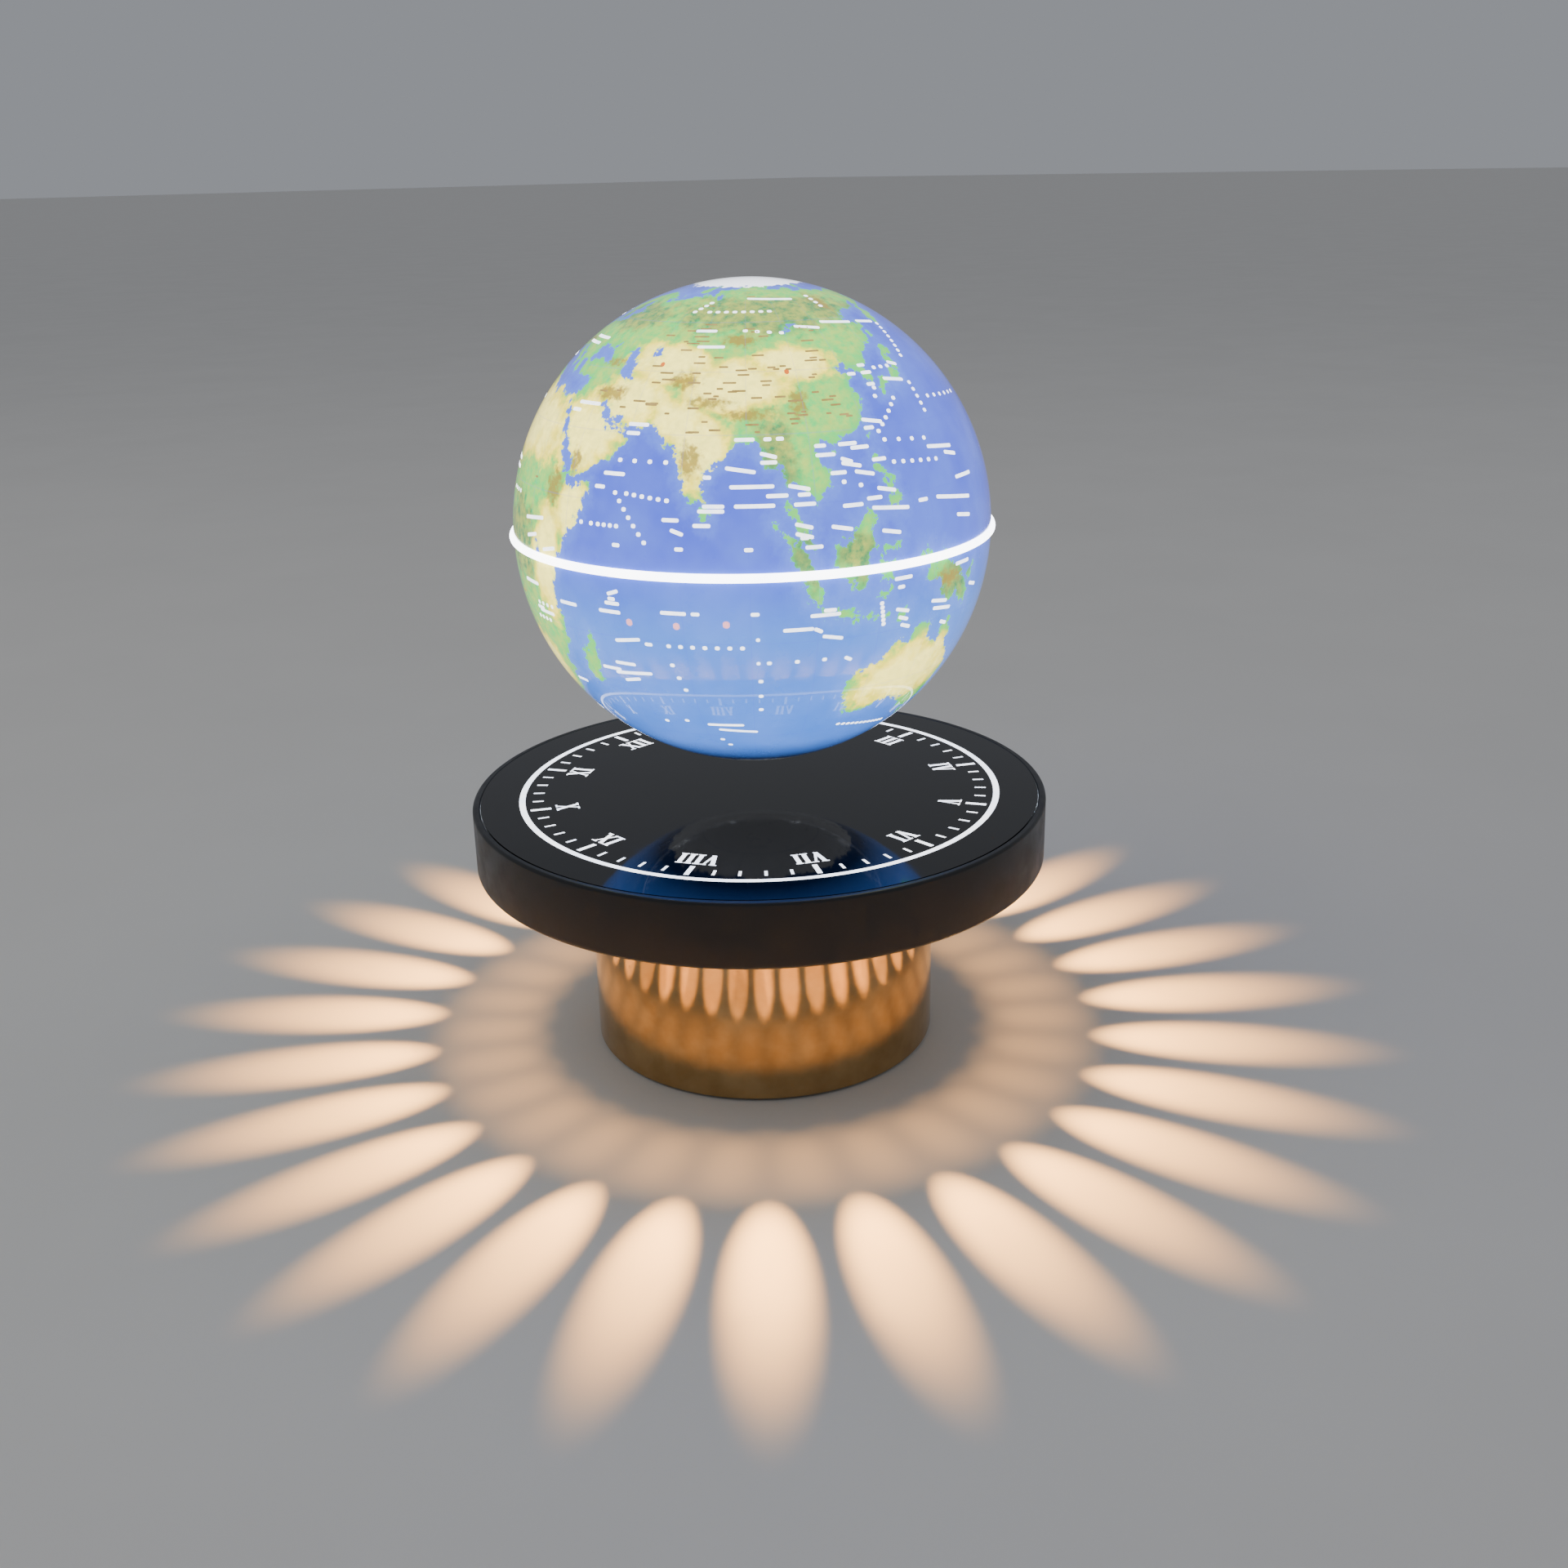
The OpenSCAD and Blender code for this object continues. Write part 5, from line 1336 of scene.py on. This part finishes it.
CROSS_ARM = 1.5 * MM
CROSS_HALF_WIDTH = 0.33 * MM
CROSS_DEPTH = 0.9 * MM
CROSS_PAST = 0.3 * MM
BALLAST_HEAD_R = 2.8 * MM


def cross_recesses(cad_name):
    """Cutters for a cross recess in the head of each screw of the set."""
    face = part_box(cad_name)[0].z
    if cad_name == "base_screws":
        orbit, turns = POST_ORBIT, [45 + 90 * k for k in range(4)]
    else:
        orbit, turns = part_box(cad_name)[1].y - BALLAST_HEAD_R, [90 + 120 * k for k in range(3)]
    arm, thick = CROSS_ARM, CROSS_HALF_WIDTH
    outline = [(thick, -arm), (thick, -thick), (arm, -thick), (arm, thick), (thick, thick),
               (thick, arm), (-thick, arm), (-thick, thick), (-arm, thick), (-arm, -thick),
               (-thick, -thick), (-thick, -arm)]
    cutters = []
    for a in map(math.radians, turns):
        x, y = orbit * math.cos(a), orbit * math.sin(a)
        cutters.append(prism([(x + u, y + v) for u, v in outline], face - CROSS_PAST,
                             face + CROSS_DEPTH))
    return joined(cutters)


class GLOBE_OT_underside(bpy.types.Operator):
    """Builds the base plate, the feet and the screws that show from below"""
    bl_idname = "globe.underside"
    bl_label = "Base plate, feet and screws"

    def execute(self, context):
        finished_copy("base_plate", "base_plate_moulding", "base",
                      finish("black_satin"), 0.2)
        half = context.scene.globe_drum.foot_width / 2
        orbit = FEET_REACH - half
        # A slightly dished sole with a softly rounded edge
        profile = [(0.0, 0.12 * MM), (half - 2.2 * MM, 0.0), (half - 0.9 * MM, 0.15 * MM),
                   (half - 0.3 * MM, 0.55 * MM), (half, 1.1 * MM), (half, FOOT_TOP),
                   (0.0, FOOT_TOP)]
        feet = []
        for a in (math.radians(90 * k) for k in range(4)):
            feet.append(lathe_mesh(profile, 64, (orbit * math.cos(a), orbit * math.sin(a))))
        rubber = finish_mesh(new_piece("feet_moulded", *joined(feet), "base", "foot_rubber",
                                       finish("foot_rubber")))
        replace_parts(rubber, "rubber_feet")
        for cad_name in ("base_screws", "ballast_screws"):
            finished_copy(cad_name, cad_name + "_cross_head", "base",
                          finish("screw_steel"), 0.05, 1, cross_recesses(cad_name))
        return {"FINISHED"}


# ------------------------------------------------------------------ finishes of the other parts

class GLOBE_OT_finishes(bpy.types.Operator):
    """Gives every other part its finish"""
    bl_idname = "globe.finishes"
    bl_label = "Finishes of the inner parts and the dial"

    def execute(self, context):
        slots = {part["node"]: part["material_slot"] for part in frame["record"]["subparts"]}
        made = {"mark_glow": lit_acrylic_marks(context.scene.globe_head.mark_glow)}
        for name, obj in frame["nodes"].items():
            if obj.hide_render:
                continue
            key = name if name in PATTERNED else slots[name]
            if key not in made:
                made[key] = finish(key)
            for place in obj.material_slots:
                place.material = made[key]
        return {"FINISHED"}


# ------------------------------------------------------------------ the stage

FLOOR_HALF = 30.0
FLOOR_CELLS = 12
# Where the petal lamps stand and point, how much each cone is narrowed, and the inner ring's share
PETAL_INSET = 8 * MM
PETAL_DROP = 0.8 * MM
PETAL_AIM = 146 * MM
PETAL_NARROWING = 0.46
INNER_LEAN = 14 * MM
INNER_SHARE = 0.035


def pale_matt_floor(settings):
    """Painted board: pale, matt and faintly mottled by the roller."""
    material, tree, place = start_material("Painted board, pale")
    end_material(tree, {
        "Base Color": two_tone(tree, place, 160, tuple(settings.floor),
                               tuple(c * 0.97 for c in settings.floor)),
        "Roughness": patches(tree, place, 60, 0.5, 0.6),
        "IOR": 1.5,
    })
    return material


def add_light(name, kind, place, target, **settings):
    """A light that points at its target. Area lights are kept out of reflections."""
    light = bpy.data.lights.new(name, kind)
    for key, value in settings.items():
        setattr(light, key, value)
    obj = linked(name, light)
    obj.location = place
    obj.visible_glossy = kind != "AREA"
    obj.rotation_euler = (Vector(target) - Vector(place)).to_track_quat("-Z", "Y").to_euler()
    return obj


class GLOBE_OT_stage(bpy.types.Operator):
    """Adds the floor, the soft lights, the light thrown on the floor and the camera"""
    bl_idname = "globe.stage"
    bl_label = "Stage"

    def execute(self, context):
        scene = context.scene
        settings, head = scene.globe_stage, scene.globe_head
        self.add_floor(settings)
        world = scene.world or bpy.data.worlds.new("World")
        scene.world = world
        world.use_nodes = True
        background = world.node_tree.nodes["Background"]
        background.inputs["Color"].default_value = rgba(settings.wall)
        background.inputs["Strength"].default_value = settings.surroundings_strength
        add_light("Soft key", "AREA", (-1.0, 0.5, 1.6), (0, 0, 0.1), size=1.6,
                  energy=settings.key_power, color=linear("#FFFFFF"))
        add_light("Soft fill", "AREA", (1.2, -1.0, 1.3), (0, 0, 0.1), size=1.8,
                  energy=settings.key_power * 0.45, color=linear("#F2F6FF"))
        self.add_petals(settings, head)
        camera_data = bpy.data.cameras.new("Camera")
        camera_data.lens = settings.lens
        camera = linked("Camera", camera_data)
        camera.matrix_world = (Matrix.Translation(Vector(settings.place))
                               @ Matrix.Rotation(-settings.bearing, 4, "Z")
                               @ Matrix.Rotation(math.pi / 2 - settings.pitch, 4, "X")
                               @ Matrix.Rotation(settings.roll, 4, "Z"))
        scene.camera = camera
        return {"FINISHED"}

    def add_floor(self, settings):
        half, count = FLOOR_HALF, FLOOR_CELLS
        step = 2 * half / count
        vertices = [(-half + step * i, -half + step * j, 0.0)
                    for j in range(count + 1) for i in range(count + 1)]
        faces = [[j * (count + 1) + i, j * (count + 1) + i + 1,
                  (j + 1) * (count + 1) + i + 1, (j + 1) * (count + 1) + i]
                 for j in range(count) for i in range(count)]
        mesh = plain_mesh("floor", vertices, faces)
        mesh.materials.append(pale_matt_floor(settings))
        floor = linked("floor", mesh)

    def add_petals(self, settings, head):
        """One slanted lamp and one straight one under each window of the head."""
        start_r = LENS_R - PETAL_INSET
        for k in range(head.window_count):
            a = 2 * math.pi * k / head.window_count
            out = Vector((math.cos(a), math.sin(a), 0))
            start = out * start_r + Vector((0, 0, HEAD_Z0 - PETAL_DROP))
            petal = add_light("Petal %02d" % (k + 1), "SPOT", start, out * PETAL_AIM,
                              energy=settings.petal_power, color=settings.petal,
                              spot_size=math.radians(41), spot_blend=1.0,
                              shadow_soft_size=0.5 * MM)
            petal.scale = (PETAL_NARROWING, 1.0, 1.0)
            add_light("Inner %02d" % (k + 1), "SPOT", start, out * (start_r + INNER_LEAN),
                      energy=settings.petal_power * INNER_SHARE, color=settings.petal,
                      spot_size=math.radians(42), spot_blend=0.9, shadow_soft_size=1.5 * MM)


# ------------------------------------------------------------------ the add-on

STEPS = (
    GLOBE_OT_ball, GLOBE_OT_band, GLOBE_OT_labels, GLOBE_OT_head, GLOBE_OT_drum, GLOBE_OT_rear,
    GLOBE_OT_underside, GLOBE_OT_finishes, GLOBE_OT_stage,
)


class GLOBE_PT_sidebar(bpy.types.Panel):
    """Buttons and settings for the globe"""
    bl_idname = "GLOBE_PT_sidebar"
    bl_label = "Levitating Desk Globe"
    bl_space_type = "VIEW_3D"
    bl_region_type = "UI"
    bl_category = "Globe"

    def draw(self, context):
        for step in STEPS:
            self.layout.operator(step.bl_idname)
        for name, group in SETTINGS.items():
            box = self.layout.box()
            for prop in group.__annotations__:
                box.prop(getattr(context.scene, name), prop)


SETTINGS = {
    "globe_ball": GlobeBallSettings,
    "globe_head": GlobeHeadSettings,
    "globe_drum": GlobeDrumSettings,
    "globe_stage": GlobeStageSettings,
}
CLASSES = (*SETTINGS.values(), *STEPS, GLOBE_PT_sidebar)


def register():
    for cls in CLASSES:
        bpy.utils.register_class(cls)
    for name, group in SETTINGS.items():
        setattr(bpy.types.Scene, name, PointerProperty(type=group))


def unregister():
    for name in SETTINGS:
        delattr(bpy.types.Scene, name)
    for cls in reversed(CLASSES):
        bpy.utils.unregister_class(cls)


def main():
    register()
    bpy.ops.globe.ball()
    bpy.ops.globe.band()
    bpy.ops.globe.labels()
    bpy.ops.globe.head()
    bpy.ops.globe.drum()
    bpy.ops.globe.rear()
    bpy.ops.globe.underside()
    bpy.ops.globe.finishes()
    bpy.ops.globe.stage()


if __name__ == "__main__":
    main()
